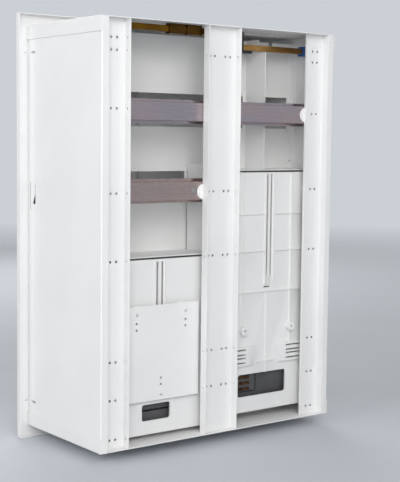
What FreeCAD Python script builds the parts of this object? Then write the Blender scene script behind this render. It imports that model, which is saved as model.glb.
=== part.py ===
import FreeCAD, Part
import os
from types import SimpleNamespace

import Sketcher

# A flush-mount sheet-steel meter and distribution cabinet with two fields, 430 mm wide and 600 mm tall.
# X runs to the right as seen from the front, the door faces -Y and +Z is up. The origin is the centre of
# the wall fixing holes, on the rear faces of the uprights' webs. The rear rims stand behind that plane.

doc = FreeCAD.newDocument("MeterCabinet")
sheet = doc.addObject("Spreadsheet::Sheet", "Sizes")

SIZES = {
    # Body of folded sheet
    "body_width": 430,
    "body_height": 600,
    "body_depth": 205,
    "gauge": 1.2,
    "rim_depth": 13,
    "cap_skirt": 21,
    "skirt_gap": 0.3,
    "rim_strip": 11.5,
    "front_flange": 9,
    "flange_gap": 0.5,
    "entry_width": 330,
    "entry_depth": 80,
    "entry_back": 78,
    "entry_lap": 7,
    "entry_corner": 5,
    "right_upright_width": 36.7,
    "left_upright_width": 37.7,
    "left_flank_rise": 4.2,
    "middle_upright_width": 59.5,
    "middle_shift": 1.7,
    # Fixing holes in the uprights
    "fixing_inset": 12.7,
    "fixing_height": 353,
    "fixing_hole": 3.6,
    "column_pitch": 9.5,
    "middle_outer_column": 18.4,
    "middle_inner_column": 9.6,
    "crown_drop": 25.8,
    "bar_row_drop": 42.8,
    "row_lower_rail": 59.5,
    "row_ledge": 35.3,
    "terminal_row_rise": 68,
    "foot_row_rise": 12.1,
    "flank_hole": 3.4,
    "flank_hole_depth": 5.5,
    # Hat rails
    "rail_height": 35,
    "rail_base": 27,
    "rail_depth": 15,
    "rail_gauge": 1.5,
    "rail_end_gap": 14.3,
    "rail_upper_z": 174.5,
    "rail_lower_z": 61,
    "rail_lower_start": 5,
    "rail_notch_x": 45,
    "rail_notch_width": 9,
    "rail_notch_height": 7.4,
    "tab_diameter": 22,
    "middle_tab_reach": 9.5,
    "left_tab_reach": 8.3,
    # Screws
    "screw_gap": 0.25,
    "rail_head": 7.6,
    "rail_head_height": 2.3,
    "board_head": 7,
    "board_head_height": 2.2,
    "board_hole": 3.3,
    "thread_play": 0.1,
    "thread_end": 0.8,
    "small_screw": 3,
    "small_head": 6,
    "small_head_height": 1.6,
    "drive_width": 1,
    "drive_depth": 0.9,
    # Cover plates in front of the rails
    "cover_setback": 83,
    "cover_drop": 8.8,
    "cover_edge_gap": 1.3,
    "cover_lap": 0.4,
    "support_leg": 8.7,
    "support_depth": 11.8,
    "slot_side_margin": 8,
    "slot_wall_margin": 5.4,
    "slot_middle_margin": 2.9,
    "slot_low": 153.5,
    "slot_height": 50,
    "slot_lower_low": 39,
    "slot_lower_height": 48,
    "switch_slot_margin": 14.4,
    "switch_slot_inset": 10,
    "notch_width": 7,
    "notch_height": 5,
    "notch_first": 128,
    "notch_second": 168,
    # Partitions and ledges
    "switch_wall_x": 115,
    "switch_wall_back": 35,
    "middle_wall_back": 17.5,
    "middle_wall_top": 98,
    "middle_wall_gap": 2.5,
    "ledge_left_z": 90,
    "ledge_right_z": 33,
    "ledge_lip": 10,
    # Plastic boards
    "board_edge_margin": 4.5,
    "board_thickness": 3,
    "board_gap": 11,
    "standoff": 12.8,
    "spacer_diameter": 8,
    "meter_board_top": 86,
    "meter_board_rise": 14.8,
    "terminal_board_top": 37,
    "terminal_board_rise": 6.8,
    "rib_height": 2.5,
    "rib_width": 1.5,
    "rib_pitch": 48,
    "rib_offset": 10,
    "rib_row_top": 22,
    "rib_row_middle": 35,
    "rib_row_low": 98,
    "slit_offset": 14.3,
    "slit_pitch": 7.6,
    "slit_width": 2.8,
    "slit_top": 83,
    "slit_foot": 87,
    "slit_bar": 1.6,
    "slit_bar_gap": 2.3,
    "meter_boss": 14,
    "meter_boss_height": 8,
    "meter_boss_bore": 4.2,
    "meter_boss_pitch": 94.3,
    "meter_boss_offset": 10.3,
    "meter_boss_rise": 128,
    "stop_slot_width": 12,
    "stop_slot_height": 2.2,
    "stop_slot_drop": 3,
    "stop_slot_shift": 3,
    "vent_length": 32,
    "vent_height": 2.2,
    "vent_pitch": 7.4,
    "vent_middle_pitch": 5.2,
    "vent_rise": 99,
    "vent_inner_inset": 42.7,
    "vent_outer_inset": 24.1,
    "vent_pad_margin": 4,
    "vent_inner_reach": 12.8,
    "vent_outer_reach": 13,
    "vent_pad_ramp": 8,
    "vent_pad_height": 4,
    "window_outer_inset": 37.5,
    "window_inner_inset": 46.2,
    "window_rise": 24,
    "window_height": 35,
    "window_corner": 4,
    "small_window_offset": 5.75,
    "small_window_width": 49.9,
    "small_window_rise": 20,
    "small_window_height": 24,
    "small_window_corner": 3.5,
    "terminal_slit_offset": 0.7,
    "terminal_slit_pitch": 8.8,
    "terminal_slit_top": 41,
    "terminal_slit_foot": 107,
    # Meter hook
    "hook_width": 16,
    "hook_height": 20,
    "hook_thickness": 4,
    "hook_play": 0.3,
    "hook_stop_gap": 0.3,
    "hook_leg_height": 11.5,
    "hook_lip": 1.2,
    "hook_neck": 3,
    "hook_neck_height": 4,
    "hook_tip": 1.5,
    "hook_tip_height": 10,
    "hook_tip_width": 8,
    "hook_screw_drop": 6.5,
    "hook_lip_reach": 2.4,
    # Mounting plate behind the terminal board
    "plate_shift": 1,
    "plate_top": 102,
    "plate_rise": 51,
    "plate_gauge": 1.5,
    "plate_standoff": 5.5,
    "plate_spacer": 7,
    "plate_hole": 3.2,
    "plate_head": 4.8,
    "plate_column": 43,
    "plate_row": 12,
    "plate_row_second": 25,
    "plate_row_third": 34.5,
    "plate_low_row": 8,
    "plate_low_second": 22.5,
    "plate_low_third": 32,
    "plate_tab_x": 65,
    "plate_tab_width": 9,
    "plate_tab_height": 1.6,
    # Terminals behind the windows
    "carrier_depth": 6,
    "carrier_gauge": 3,
    "carrier_margin": 7,
    "carrier_leg": 3,
    "carrier_slit": 3,
    "carrier_slit_drop": 9.5,
    "groove_width": 2,
    "groove_depth": 2.5,
    "groove_side_gap": 3.5,
    "groove_foot_gap": 1,
    "supply_width": 37.5,
    "supply_depth": 4,
    "supply_inset": 1.5,
    "supply_rise": 8,
    "contact_width": 26,
    "contact_height": 5,
    "contact_depth": 1.5,
    "contact_pitch": 9,
    "hood_margin": 18,
    "hood_wall": 2,
    "hood_foot_rise": 3,
    "hood_left_lap": 11,
    "hood_right_lap": 12,
    # Brass bars
    "bar_thickness": 6,
    "bar_height": 9,
    "bar_clearance": 1.5,
    "neutral_lap": 6.5,
    "neutral_end_gap": 8.5,
    "neutral_depth": 11,
    "neutral_drop": 3,
    "clamp_length": 26,
    "clamp_first": 75,
    "clamp_second": 44.5,
    "clamp_wall": 3,
    "clamp_below": 2.5,
    "bar_screw_pitch": 8,
    "bar_screw_margin": 9,
    "bar_screw": 4.4,
    "bar_screw_height": 2,
    "earth_end_gap": 4,
    "earth_right": 62,
    "earth_depth": 47,
    "earth_drop": 22.55,
    "holder_reach": 13.3,
    "holder_width": 16,
    "holder_below": 3,
    "holder_above": 3,
    "clip_post": 14,
    "clip_jaw": 31,
    "clip_jaw_height": 4.5,
    # Trim frame
    "frame_overhang": 17,
    "frame_member": 30,
    "frame_outer_lip": 11,
    "frame_inner_lip": 12,
    "frame_slot_front": 10.6,
    "frame_slot_length": 12,
    "frame_slot_height": 3.5,
    "frame_slot_drop": 38.8,
    "frame_slot_rise": 36.8,
    "frame_hole": 3,
    "frame_hole_inset": 14.5,
    "bracket_height": 20,
    "bracket_depth": 24,
    # Door, hung on pins at its left edge
    "door_gap": 2.5,
    "door_return": 14,
    "hinge_inset": 8,
    "hinge_setback": 6,
    "pin_diameter": 5,
    "pin_play": 0.05,
    "pin_reach": 8,
    "pin_collar": 8,
    "pin_collar_height": 1,
    "bush_wall": 1.45,
    "bush_flange": 11,
    "bush_flange_height": 1.2,
    "bush_length": 10,
    "boss_width": 9,
    "boss_height": 8.8,
    "boss_back": 4.2,
    "stiffener_width": 40,
    "stiffener_depth": 10,
    "stiffener_foot": 8,
    "stiffener_end_gap": 14.5,
    # Latch
    "latch_inset": 27.5,
    "latch_z": 50,
    "latch_barrel": 25.6,
    "latch_hole_gap": 0.2,
    "latch_flange": 34,
    "latch_flange_height": 1.5,
    "latch_bore": 18,
    "latch_play": 0.06,
    "latch_length": 18.7,
    "latch_nut": 36,
    "latch_nut_height": 4,
    "latch_slot_width": 2.5,
    "latch_slot_depth": 3,
    "cam_length": 37,
    "cam_width": 14,
    "cam_gauge": 2.5,
    "cam_gap": 0.5,
    "cam_screw": 4,
    "cam_screw_head": 9,
    "cam_screw_height": 2.5,
    "cam_screw_length": 10,
    "strike_thickness": 8.9,
    "strike_height": 48,
    "strike_front": 4,
    "strike_back": 18,
    "slit_front": 7.2,
    "slit_back": 9.2,
    "slit_length": 41,
    "slit_shift": 1.5,
    "keyhole_back": 23,
    "keyhole_neck": 2,
    "keyhole_wide": 8,
    "keyhole_rise": 14.5,
    "keyhole_split": 1.5,
    "keyhole_drop": 13.5,
    "keyhole_end": 2,
}

for row, (name, value) in enumerate(SIZES.items(), start=1):
    sheet.set(f"A{row}", name)
    sheet.set(f"B{row}", str(value))
    sheet.setAlias(f"B{row}", name)
doc.recompute()


class Size:
    """A length worked out from the sheet, kept as the text of an expression."""

    def __init__(self, text):
        self.text = text

    def __add__(self, other):
        return Size(f"({self.text} + {text_of(other)})")

    def __radd__(self, other):
        return Size(f"({text_of(other)} + {self.text})")

    def __sub__(self, other):
        return Size(f"({self.text} - {text_of(other)})")

    def __mul__(self, other):
        return Size(f"({self.text} * {text_of(other)})")

    def __rmul__(self, other):
        return Size(f"({text_of(other)} * {self.text})")

    def __truediv__(self, other):
        return Size(f"({self.text} / {text_of(other)})")

    def __neg__(self):
        return Size(f"(-1 * {self.text})")


def text_of(length):
    return length.text if isinstance(length, Size) else str(length)


def value_of(length):
    return float(sheet.evalExpression(text_of(length)))


def loop(*corners):
    """A closed outline of straight edges, each corner tied to its two lengths."""

    def draw(sketch):
        first = sketch.GeometryCount
        points = [FreeCAD.Vector(value_of(x), value_of(y)) for x, y in corners]
        ends = points[1:] + points[:1]
        sketch.addGeometry([Part.LineSegment(*pair) for pair in zip(points, ends)])
        last = first + len(corners) - 1
        for edge in range(first, last):
            sketch.addConstraint(Sketcher.Constraint("Coincident", edge, 2, edge + 1, 1))
        sketch.addConstraint(Sketcher.Constraint("Coincident", last, 2, first, 1))
        for edge, corner in enumerate(corners, start=first):
            tie_point(sketch, edge, 1, corner)

    return draw


def rectangle(x_one, y_one, x_two, y_two):
    return loop((x_one, y_one), (x_two, y_one), (x_two, y_two), (x_one, y_two))


def disc(x, y, diameter):
    """A full circle."""

    def draw(sketch):
        centre = FreeCAD.Vector(value_of(x), value_of(y))
        up = FreeCAD.Vector(0, 0, 1)
        edge = sketch.addGeometry(Part.Circle(centre, up, value_of(diameter) / 2))
        tie_point(sketch, edge, 3, (x, y))
        tie(sketch, Sketcher.Constraint("Diameter", edge, value_of(diameter)), diameter)

    return draw


QUARTER = FreeCAD.Units.Quantity("90 deg").getValueAs("rad").Value


def rounded(x_low, y_low, x_high, y_high, radius):
    """A rectangle with quarter-round corners."""
    flats = (
        ((x_low + radius, y_low), (x_high - radius, y_low)),
        ((x_high, y_low + radius), (x_high, y_high - radius)),
        ((x_high - radius, y_high), (x_low + radius, y_high)),
        ((x_low, y_high - radius), (x_low, y_low + radius)),
    )
    centres = (
        (x_high - radius, y_low + radius),
        (x_high - radius, y_high - radius),
        (x_low + radius, y_high - radius),
        (x_low + radius, y_low + radius),
    )

    def draw(sketch):
        first = sketch.GeometryCount
        reach = value_of(radius)
        for side, (start, end) in enumerate(flats):
            one = FreeCAD.Vector(*map(value_of, start))
            two = FreeCAD.Vector(*map(value_of, end))
            middle = FreeCAD.Vector(*map(value_of, centres[side]))
            turn = (side - 1) * QUARTER
            sketch.addGeometry(Part.LineSegment(one, two))
            round_corner = Part.Circle(middle, FreeCAD.Vector(0, 0, 1), reach)
            sketch.addGeometry(Part.ArcOfCircle(round_corner, turn, turn + QUARTER))
        for side, (start, end) in enumerate(flats):
            flat = first + 2 * side
            following = first + 2 * ((side + 1) % len(flats))
            sketch.addConstraint(Sketcher.Constraint("Coincident", flat, 2, flat + 1, 1))
            sketch.addConstraint(Sketcher.Constraint("Coincident", flat + 1, 2, following, 1))
            tie_point(sketch, flat, 1, start)
            tie_point(sketch, flat, 2, end)
            tie(sketch, Sketcher.Constraint("Radius", flat + 1, reach), radius)

    return draw


def tie_point(sketch, edge, end, place):
    """Ties one end of an edge to its place from the sketch's origin."""
    for kind, length in zip(("DistanceX", "DistanceY"), place):
        tie(sketch, Sketcher.Constraint(kind, -1, 1, edge, end, value_of(length)), length)


def tie(sketch, constraint, length):
    index = sketch.addConstraint(constraint)
    sketch.setExpression(f"Constraints[{index}]", text_of(length))


class Piece:
    """One body, built from flat outlines that are padded or cut between two planes."""

    def __init__(self, label):
        self.body = doc.addObject("PartDesign::Body", label)
        self.body.Label = label

    def outline(self, plane, offset, outlines):
        sketch = self.body.newObject("Sketcher::SketchObject", "Outline")
        planes = self.body.Origin.OriginFeatures
        support = next(item for item in planes if item.Role == f"{plane}_Plane")
        sketch.AttachmentSupport = [(support, "")]
        sketch.MapMode = "FlatFace"
        sketch.setExpression("AttachmentOffset.Base.z", text_of(offset))
        for draw in outlines:
            draw(sketch)
        return sketch

    def feature(self, kind, sketch, length):
        made = self.body.newObject(f"PartDesign::{kind}", kind)
        made.Profile = sketch
        made.setExpression("Length", text_of(length))

    def pad(self, plane, low, high, *outlines):
        start = -high if plane == "XZ" else low
        self.feature("Pad", self.outline(plane, start, outlines), high - low)

    def cut(self, plane, low, high, *outlines):
        start = -low if plane == "XZ" else high
        self.feature("Pocket", self.outline(plane, start, outlines), high - low)


def span(side, inner, outer):
    """The low and the high end of a stretch on one side of the middle."""
    return (inner, outer) if side > 0 else (-outer, -inner)


size = SimpleNamespace(**{name: Size(f"Sizes.{name}") for name in SIZES})

BOTH_SIDES = (("right", 1), ("left", -1))
BOTH_ENDS = (("top", 1), ("bottom", -1))

half_width = size.body_width / 2
half_height = size.body_height / 2
rim = size.rim_depth
front = rim - size.body_depth
wall_out = half_width - size.gauge - size.skirt_gap
wall_in = wall_out - size.gauge
wall_top = half_height - size.gauge
web_rear = Size("0")
web_front = -size.gauge
rim_edge = wall_out - size.rim_strip
upright_out = rim_edge + size.gauge
upright_in = upright_out - size.right_upright_width
left_upright_in = upright_out - size.left_upright_width
middle_right = size.middle_shift + size.middle_upright_width / 2
middle_left = size.middle_shift - size.middle_upright_width / 2
middle_screws = size.middle_shift + size.middle_outer_column
outer_column = upright_out - size.fixing_inset
inner_column = outer_column - size.column_pitch
row_crown = wall_top - size.crown_drop
row_bar = wall_top - size.bar_row_drop
row_upper = size.fixing_height / 2
row_terminal = size.terminal_row_rise - wall_top
row_foot = size.foot_row_rise - wall_top
thread = size.fixing_hole - size.screw_gap * 2


# Caps: a flat plate over the whole body with a skirt down each side, a front flange and a cable entry.
entry_rear = rim - size.entry_back
entry_front = entry_rear - size.entry_depth
entry_half = size.entry_width / 2
front_flange_edge = wall_out - size.front_flange

for name, end in BOTH_ENDS:
    cap = Piece(f"cap_{name}")
    plate = span(end, wall_top, half_height)
    cap.pad("XY", *plate, rectangle(-half_width, front, half_width, rim))
    for _, side in BOTH_SIDES:
        skirt = rectangle(front, end * (half_height - size.cap_skirt), rim, end * wall_top)
        cap.pad("YZ", *span(side, half_width - size.gauge, half_width), skirt)
    flange_half = front_flange_edge - size.flange_gap
    flange_low = end * (half_height - size.front_flange)
    flange = rectangle(-flange_half, flange_low, flange_half, end * wall_top)
    cap.pad("XZ", front, front + size.gauge, flange)
    entry = (-entry_half, entry_front, entry_half, entry_rear)
    cap.cut("XY", *plate, rounded(*entry, size.entry_corner))


# Cable entry plates close the entries from inside, each held by four screws.
lap_half = entry_half + size.entry_lap
lap_front = entry_front - size.entry_lap
lap_rear = entry_rear + size.entry_lap
entry_screws = Piece("entry_plate_screws")
entry_places = [
    (side * (entry_half + size.entry_lap / 2), place)
    for side in (1, -1)
    for place in (entry_front + size.entry_corner, entry_rear - size.entry_corner)
]

for name, end in BOTH_ENDS:
    cover = Piece(f"entry_plate_{name}")
    level = span(end, wall_top - size.gauge, wall_top)
    cover.pad("XY", *level, rectangle(-lap_half, lap_front, lap_half, lap_rear))
    holes = [disc(x, y, size.small_screw) for x, y in entry_places]
    cover.cut("XY", *level, *holes)
    under = wall_top - size.gauge - size.small_head_height
    heads = [disc(x, y, size.small_head) for x, y in entry_places]
    entry_screws.pad("XY", *span(end, under, wall_top - size.gauge), *heads)
    shanks = [disc(x, y, size.small_screw) for x, y in entry_places]
    entry_screws.pad("XY", *span(end, under, wall_top), *shanks)


# Side walls: a plate with a rear rim strip, a front flange and slots for the trim frame's screws.
# The right wall also has a slit and a slot that widens downwards, both beside the latch.
slot_rear = front + size.frame_slot_front + size.frame_slot_length
frame_slots = (wall_top - size.frame_slot_drop, size.frame_slot_rise - wall_top)
half_slot = size.frame_slot_height / 2
half_slit = size.slit_length / 2

for name, side in BOTH_SIDES:
    wall = Piece(f"side_wall_{name}")
    skin = span(side, wall_in, wall_out)
    wall.pad("YZ", *skin, rectangle(front, -wall_top, rim, wall_top))
    strip = rectangle(side * rim_edge, -wall_top, side * wall_in, wall_top)
    wall.pad("XZ", rim - size.gauge, rim, strip)
    flange = rectangle(side * front_flange_edge, -wall_top, side * wall_in, wall_top)
    wall.pad("XZ", front, front + size.gauge, flange)
    slots = [
        rectangle(front + size.frame_slot_front, z - half_slot, slot_rear, z + half_slot)
        for z in frame_slots
    ]
    if side > 0:
        slit_middle = size.latch_z - size.slit_shift
        slit = rectangle(
            front + size.slit_front, slit_middle - half_slit, front + size.slit_back, slit_middle + half_slit
        )
        far = front + size.keyhole_back
        near = far - size.keyhole_neck
        wide = far - size.keyhole_wide
        foot = size.latch_z - size.keyhole_drop
        keyhole = loop(
            (far, size.latch_z + size.keyhole_rise),
            (near, size.latch_z + size.keyhole_rise),
            (near, size.latch_z + size.keyhole_split),
            (wide, foot + size.keyhole_end),
            (wide + size.keyhole_end, foot),
            (far - size.keyhole_end, foot),
            (far, foot + size.keyhole_end),
        )
        slots += [slit, keyhole]
    wall.cut("YZ", *skin, *slots)


# Uprights: channels open to the rear, whose webs carry the rails and the boards. The left and the middle one
# each have a half-round tab in the web's plane that reaches into the bay behind a rail. The left one's inner
# flank is low.
rows = (
    row_crown,
    row_bar,
    row_upper,
    size.row_lower_rail,
    -size.row_ledge,
    -row_upper,
    row_terminal,
    row_foot,
)
middle_rows = (row_bar, size.row_lower_rail, -size.row_ledge, -row_upper, row_terminal)
tab_radius = size.tab_diameter / 2


def flank_holes(heights):
    return [disc(size.flank_hole_depth, z, size.flank_hole) for z in heights]


outer_uprights = (("right", 1, upright_in, rim), ("left", -1, left_upright_in, size.left_flank_rise))

for name, side, inner, flank_rear in outer_uprights:
    upright = Piece(f"upright_{name}")
    web = rectangle(side * inner, -wall_top, side * upright_out, wall_top)
    upright.pad("XZ", web_front, web_rear, web)
    outer = rectangle(web_front, -wall_top, rim - size.gauge, wall_top)
    upright.pad("YZ", *span(side, upright_out - size.gauge, upright_out), outer)
    flank = span(side, inner, inner + size.gauge)
    upright.pad("YZ", *flank, rectangle(web_front, -wall_top, flank_rear, wall_top))
    if side > 0:
        upright.cut("YZ", *flank, *flank_holes(rows))
    else:
        tab = disc(size.left_tab_reach - inner - tab_radius, size.rail_upper_z, size.tab_diameter)
        upright.pad("XZ", web_front, web_rear, tab)
    holes = [disc(side * x, z, size.fixing_hole) for x in (inner_column, outer_column) for z in rows]
    upright.cut("XZ", web_front, web_rear, *holes)

upright = Piece("upright_middle")
web = rectangle(middle_left, -wall_top, middle_right, wall_top)
upright.pad("XZ", web_front, web_rear, web)
flanks = (
    (middle_left, middle_left + size.gauge, middle_rows),
    (middle_right - size.gauge, middle_right, [z for z in middle_rows if z is not size.row_lower_rail]),
)
for low, high, heights in flanks:
    upright.pad("YZ", low, high, rectangle(web_front, -wall_top, rim, wall_top))
    upright.cut("YZ", low, high, *flank_holes(heights))
tab_middle = middle_right + size.middle_tab_reach - tab_radius
tab = disc(tab_middle, size.row_lower_rail, size.tab_diameter)
upright.pad("XZ", web_front, web_rear, tab)
holes = [
    disc(size.middle_shift + side * x, z, size.fixing_hole)
    for side in (1, -1)
    for x in (size.middle_outer_column, size.middle_inner_column)
    for z in middle_rows
]
upright.cut("XZ", web_front, web_rear, *holes)


# Hat rails, 35 mm high, with their base against the webs and their lips towards the front.
rail_rear = web_front
rail_front = rail_rear - size.rail_depth
rail_end = wall_in - size.rail_end_gap


def rail(label, start, height, screw_row, screw_places):
    """A hat rail from start to the right wall, with a row of clearance holes for its screws."""
    base_half = size.rail_base / 2
    lip_half = size.rail_height / 2
    half = (
        (rail_rear, base_half),
        (rail_front + size.rail_gauge, base_half),
        (rail_front + size.rail_gauge, lip_half),
        (rail_front, lip_half),
        (rail_front, base_half - size.rail_gauge),
        (rail_rear - size.rail_gauge, base_half - size.rail_gauge),
    )
    upper = [(y, height + rise) for y, rise in half]
    lower = [(y, height - rise) for y, rise in reversed(half)]
    piece = Piece(label)
    piece.pad("YZ", start, rail_end, loop(*upper, *lower))
    holes = [disc(x, screw_row, size.fixing_hole) for x in screw_places]
    piece.cut("XZ", rail_rear - size.rail_gauge, rail_rear, *holes)
    return piece


upper_screws = (inner_column, -inner_column)
lower_screws = (outer_column, middle_screws)
rail("rail_upper", -rail_end, size.rail_upper_z, row_upper, upper_screws)
lower_rail = rail(
    "rail_lower", size.rail_lower_start, size.rail_lower_z, size.row_lower_rail, lower_screws
)
notch = rectangle(
    size.rail_notch_x - size.rail_notch_width / 2,
    size.rail_lower_z - size.rail_notch_height / 2,
    size.rail_notch_x + size.rail_notch_width / 2,
    size.rail_lower_z + size.rail_notch_height / 2,
)
lower_rail.cut("XZ", rail_rear - size.rail_gauge, rail_rear, notch)


def screws(label, places, head, head_front, head_rear, shank, tip):
    """Screws that point to the rear, with a slotted head at the front of each."""
    group = Piece(label)
    group.pad("XZ", head_front, head_rear, *(disc(x, z, head) for x, z in places))
    group.pad("XZ", head_front, tip, *(disc(x, z, shank) for x, z in places))
    add_drives(group, places, head, head_front, head_front + size.drive_depth)
    return group


def add_drives(group, places, head, low, high):
    reach = head / 2 - size.drive_width
    half = size.drive_width / 2
    slots = [rectangle(x - reach, z - half, x + reach, z + half) for x, z in places]
    group.cut("XZ", low, high, *slots)


rail_places = [(x, row_upper) for x in upper_screws]
rail_places += [(x, size.row_lower_rail) for x in lower_screws]
rail_base_front = rail_rear - size.rail_gauge
screws(
    "rail_screws",
    rail_places,
    size.rail_head,
    rail_base_front - size.rail_head_height,
    rail_base_front,
    thread,
    size.thread_end,
)


# Ledges carry the partitions. Each is a shelf with a lip turned down against the side wall.
cover_rear = size.gauge - size.cover_setback
cover_front = -size.cover_setback
board_rear = web_front - size.standoff
board_front = board_rear - size.board_thickness
middle_wall_half = size.gauge / 2

for name, side, level in (("right", 1, -size.ledge_right_z), ("left", -1, size.ledge_left_z)):
    ledge = Piece(f"ledge_{name}")
    start = -middle_wall_half if side > 0 else middle_wall_half
    shelf = rectangle(side * start, cover_rear, side * wall_in, board_rear)
    ledge.pad("XY", level - size.gauge, level, shelf)
    lip = rectangle(cover_rear, level - size.gauge, board_rear, level - size.ledge_lip)
    ledge.pad("YZ", *span(side, wall_in - size.gauge, wall_in), lip)


# Partitions: the middle one shuts the lower rail off from the meter field. The other one shuts the main
# switch off from the upper rail, and the earth bar passes through a notch in its top rear corner.
cover_top = wall_top - size.cover_drop
wall = Piece("partition_middle")
outline = rectangle(
    cover_rear + size.middle_wall_gap, -size.ledge_right_z, -size.middle_wall_back, size.middle_wall_top
)
wall.pad("YZ", -middle_wall_half, middle_wall_half, outline)

switch_low = -size.switch_wall_x - size.gauge / 2
switch_high = -size.switch_wall_x + size.gauge / 2
wall = Piece("partition_switch")
outline = rectangle(cover_rear, size.ledge_left_z, -size.switch_wall_back, cover_top)
wall.pad("YZ", switch_low, switch_high, outline)
bar_half = size.bar_thickness / 2
earth_z = wall_top - size.earth_drop
earth_low = earth_z - size.bar_height / 2
bar_notch = rectangle(
    -size.earth_depth - bar_half - size.bar_clearance,
    earth_low - size.bar_clearance,
    -size.switch_wall_back,
    cover_top,
)
wall.cut("YZ", switch_low, switch_high, bar_notch)


# Cover plates with the slots that the modular devices' fronts reach through: a large one in front of both
# rails, with a step over the meter board, and a small one in front of the main switch.
cover_edge = wall_in - size.cover_edge_gap
fastener_x = wall_in - size.support_leg / 2
fastener_rise = size.small_head * 2
fastener_hole = size.small_screw + size.thread_play * 2
field_left = switch_high - size.cover_lap
switch_right = switch_low + size.cover_lap
slot_top = size.slot_low + size.slot_height
slot_right = cover_edge - size.slot_side_margin
cover_low = -size.ledge_right_z

field_places = [
    (fastener_x, cover_low + fastener_rise),
    (fastener_x, size.middle_wall_top),
    (fastener_x, cover_top - fastener_rise),
]
cover = Piece("cover_field")
outline = loop(
    (field_left, size.ledge_left_z),
    (-middle_wall_half, size.ledge_left_z),
    (-middle_wall_half, cover_low),
    (cover_edge, cover_low),
    (cover_edge, cover_top),
    (field_left, cover_top),
)
cover.pad("XZ", cover_front, cover_rear, outline)
upper_slot = rectangle(switch_high + size.slot_wall_margin, size.slot_low, slot_right, slot_top)
lower_slot = rectangle(
    middle_wall_half + size.slot_middle_margin,
    size.slot_lower_low,
    slot_right,
    size.slot_lower_low + size.slot_lower_height,
)
cover.cut("XZ", cover_front, cover_rear, upper_slot, lower_slot)
cover.cut("XZ", cover_front, cover_rear, *(disc(x, z, fastener_hole) for x, z in field_places))

switch_places = [
    (-fastener_x, size.ledge_left_z + fastener_rise),
    (-fastener_x, cover_top - fastener_rise),
]
cover = Piece("cover_switch")
outline = rectangle(-cover_edge, size.ledge_left_z, switch_right, cover_top)
cover.pad("XZ", cover_front, cover_rear, outline)
slot = rectangle(
    size.switch_slot_inset - cover_edge, size.slot_low, switch_low - size.switch_slot_margin, slot_top
)
cover.cut("XZ", cover_front, cover_rear, slot, *(disc(x, z, fastener_hole) for x, z in switch_places))
notches = [
    rectangle(-x, cover_top - size.notch_height, size.notch_width - x, cover_top)
    for x in (size.notch_first, size.notch_second)
]
cover.cut("XZ", cover_front, cover_rear, *notches)


# Cover supports: angles up the side walls, to which the covers are screwed.
support_rear = cover_rear + size.gauge
supports = (("right", 1, cover_low, field_places), ("left", -1, size.ledge_left_z, switch_places))
for name, side, low, places in supports:
    support = Piece(f"cover_support_{name}")
    face = rectangle(side * (wall_in - size.support_leg), low, side * wall_in, cover_top)
    support.pad("XZ", cover_rear, support_rear, face)
    leg = rectangle(cover_rear, low, cover_rear + size.support_depth, cover_top)
    support.pad("YZ", *span(side, wall_in - size.gauge, wall_in), leg)
    support.cut("XZ", cover_rear, support_rear, *(disc(x, z, fastener_hole) for x, z in places))

screws(
    "cover_fasteners",
    field_places + switch_places,
    size.small_head,
    cover_front - size.small_head_height,
    cover_front,
    size.small_screw,
    support_rear + size.thread_end,
)


# Meter board: a ribbed plastic plate with a double slot for the meter hook, two screw bosses for the foot
# of the meter, two groups of vents and a cable window.
board_edge = size.board_gap / 2
board_far = inner_column + size.board_edge_margin
board_centre = (board_edge + board_far) / 2
meter_foot = size.meter_board_rise - wall_top
half_rib = size.rib_width / 2
slit_half = size.slit_width / 2
rib_rear = board_rear + size.rib_height

board = Piece("meter_board")
outline = rectangle(-board_far, meter_foot, -board_edge, size.meter_board_top)
board.pad("XZ", board_front, board_rear, outline)

slit_middle = -board_centre - size.slit_offset
slit_centres = (slit_middle - size.slit_pitch / 2, slit_middle + size.slit_pitch / 2)
slit_out = size.slit_pitch / 2 + slit_half
boss_middle = -board_centre - size.meter_boss_offset
boss_z = meter_foot + size.meter_boss_rise
boss_places = [(boss_middle + side * size.meter_boss_pitch / 2, boss_z) for side in (1, -1)]
window_low = meter_foot + size.window_rise
window_high = window_low + size.window_height
window_left = size.window_outer_inset - board_far
window_right = -board_edge - size.window_inner_inset
half_vent = size.vent_length / 2
inner_vent = -board_edge - size.vent_inner_inset
outer_vent = size.vent_outer_inset - board_far
vent_levels = [meter_foot + size.vent_rise]
for step in (size.vent_pitch, size.vent_middle_pitch, size.vent_pitch):
    vent_levels.append(vent_levels[-1] - step)
vent_foot = vent_levels[-1] - size.vent_height
pad_low = vent_foot - size.vent_pad_margin
pad_high = vent_levels[0] + size.vent_pad_margin
inner_pad = inner_vent - half_vent - size.vent_inner_reach
outer_pad = outer_vent + half_vent + size.vent_outer_reach
pad_rear = board_rear + size.vent_pad_height

rib_middle = -board_centre - size.rib_offset
rib_low = boss_z + size.meter_boss / 2
rib_high = size.meter_board_top - size.rib_width
high_ribs = [
    rectangle(x - half_rib, low, x + half_rib, rib_high)
    for x, low in ((rib_middle - size.rib_pitch, pad_high), (rib_middle + size.rib_pitch, rib_low))
]
low_rib = rectangle(rib_middle - half_rib, window_high, rib_middle + half_rib, -size.rib_row_low)
board.pad("XZ", board_rear, rib_rear, *high_ribs, low_rib)
bar_start = slit_out + size.slit_bar_gap
bar_out = bar_start + size.slit_bar
slit_sides = ((-board_far, slit_middle - bar_start), (slit_middle + bar_start, -board_edge))
for level in (size.rib_row_top, -size.rib_row_middle):
    rib_row = [rectangle(start, level - half_rib, end, level + half_rib) for start, end in slit_sides]
    board.pad("XZ", board_rear, rib_rear, *rib_row)
full_row = rectangle(-board_far, -size.rib_row_low - half_rib, -board_edge, half_rib - size.rib_row_low)
board.pad("XZ", board_rear, rib_rear, full_row)
inner_ramp = inner_pad - size.vent_pad_ramp
outer_ramp = outer_pad + size.vent_pad_ramp
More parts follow.
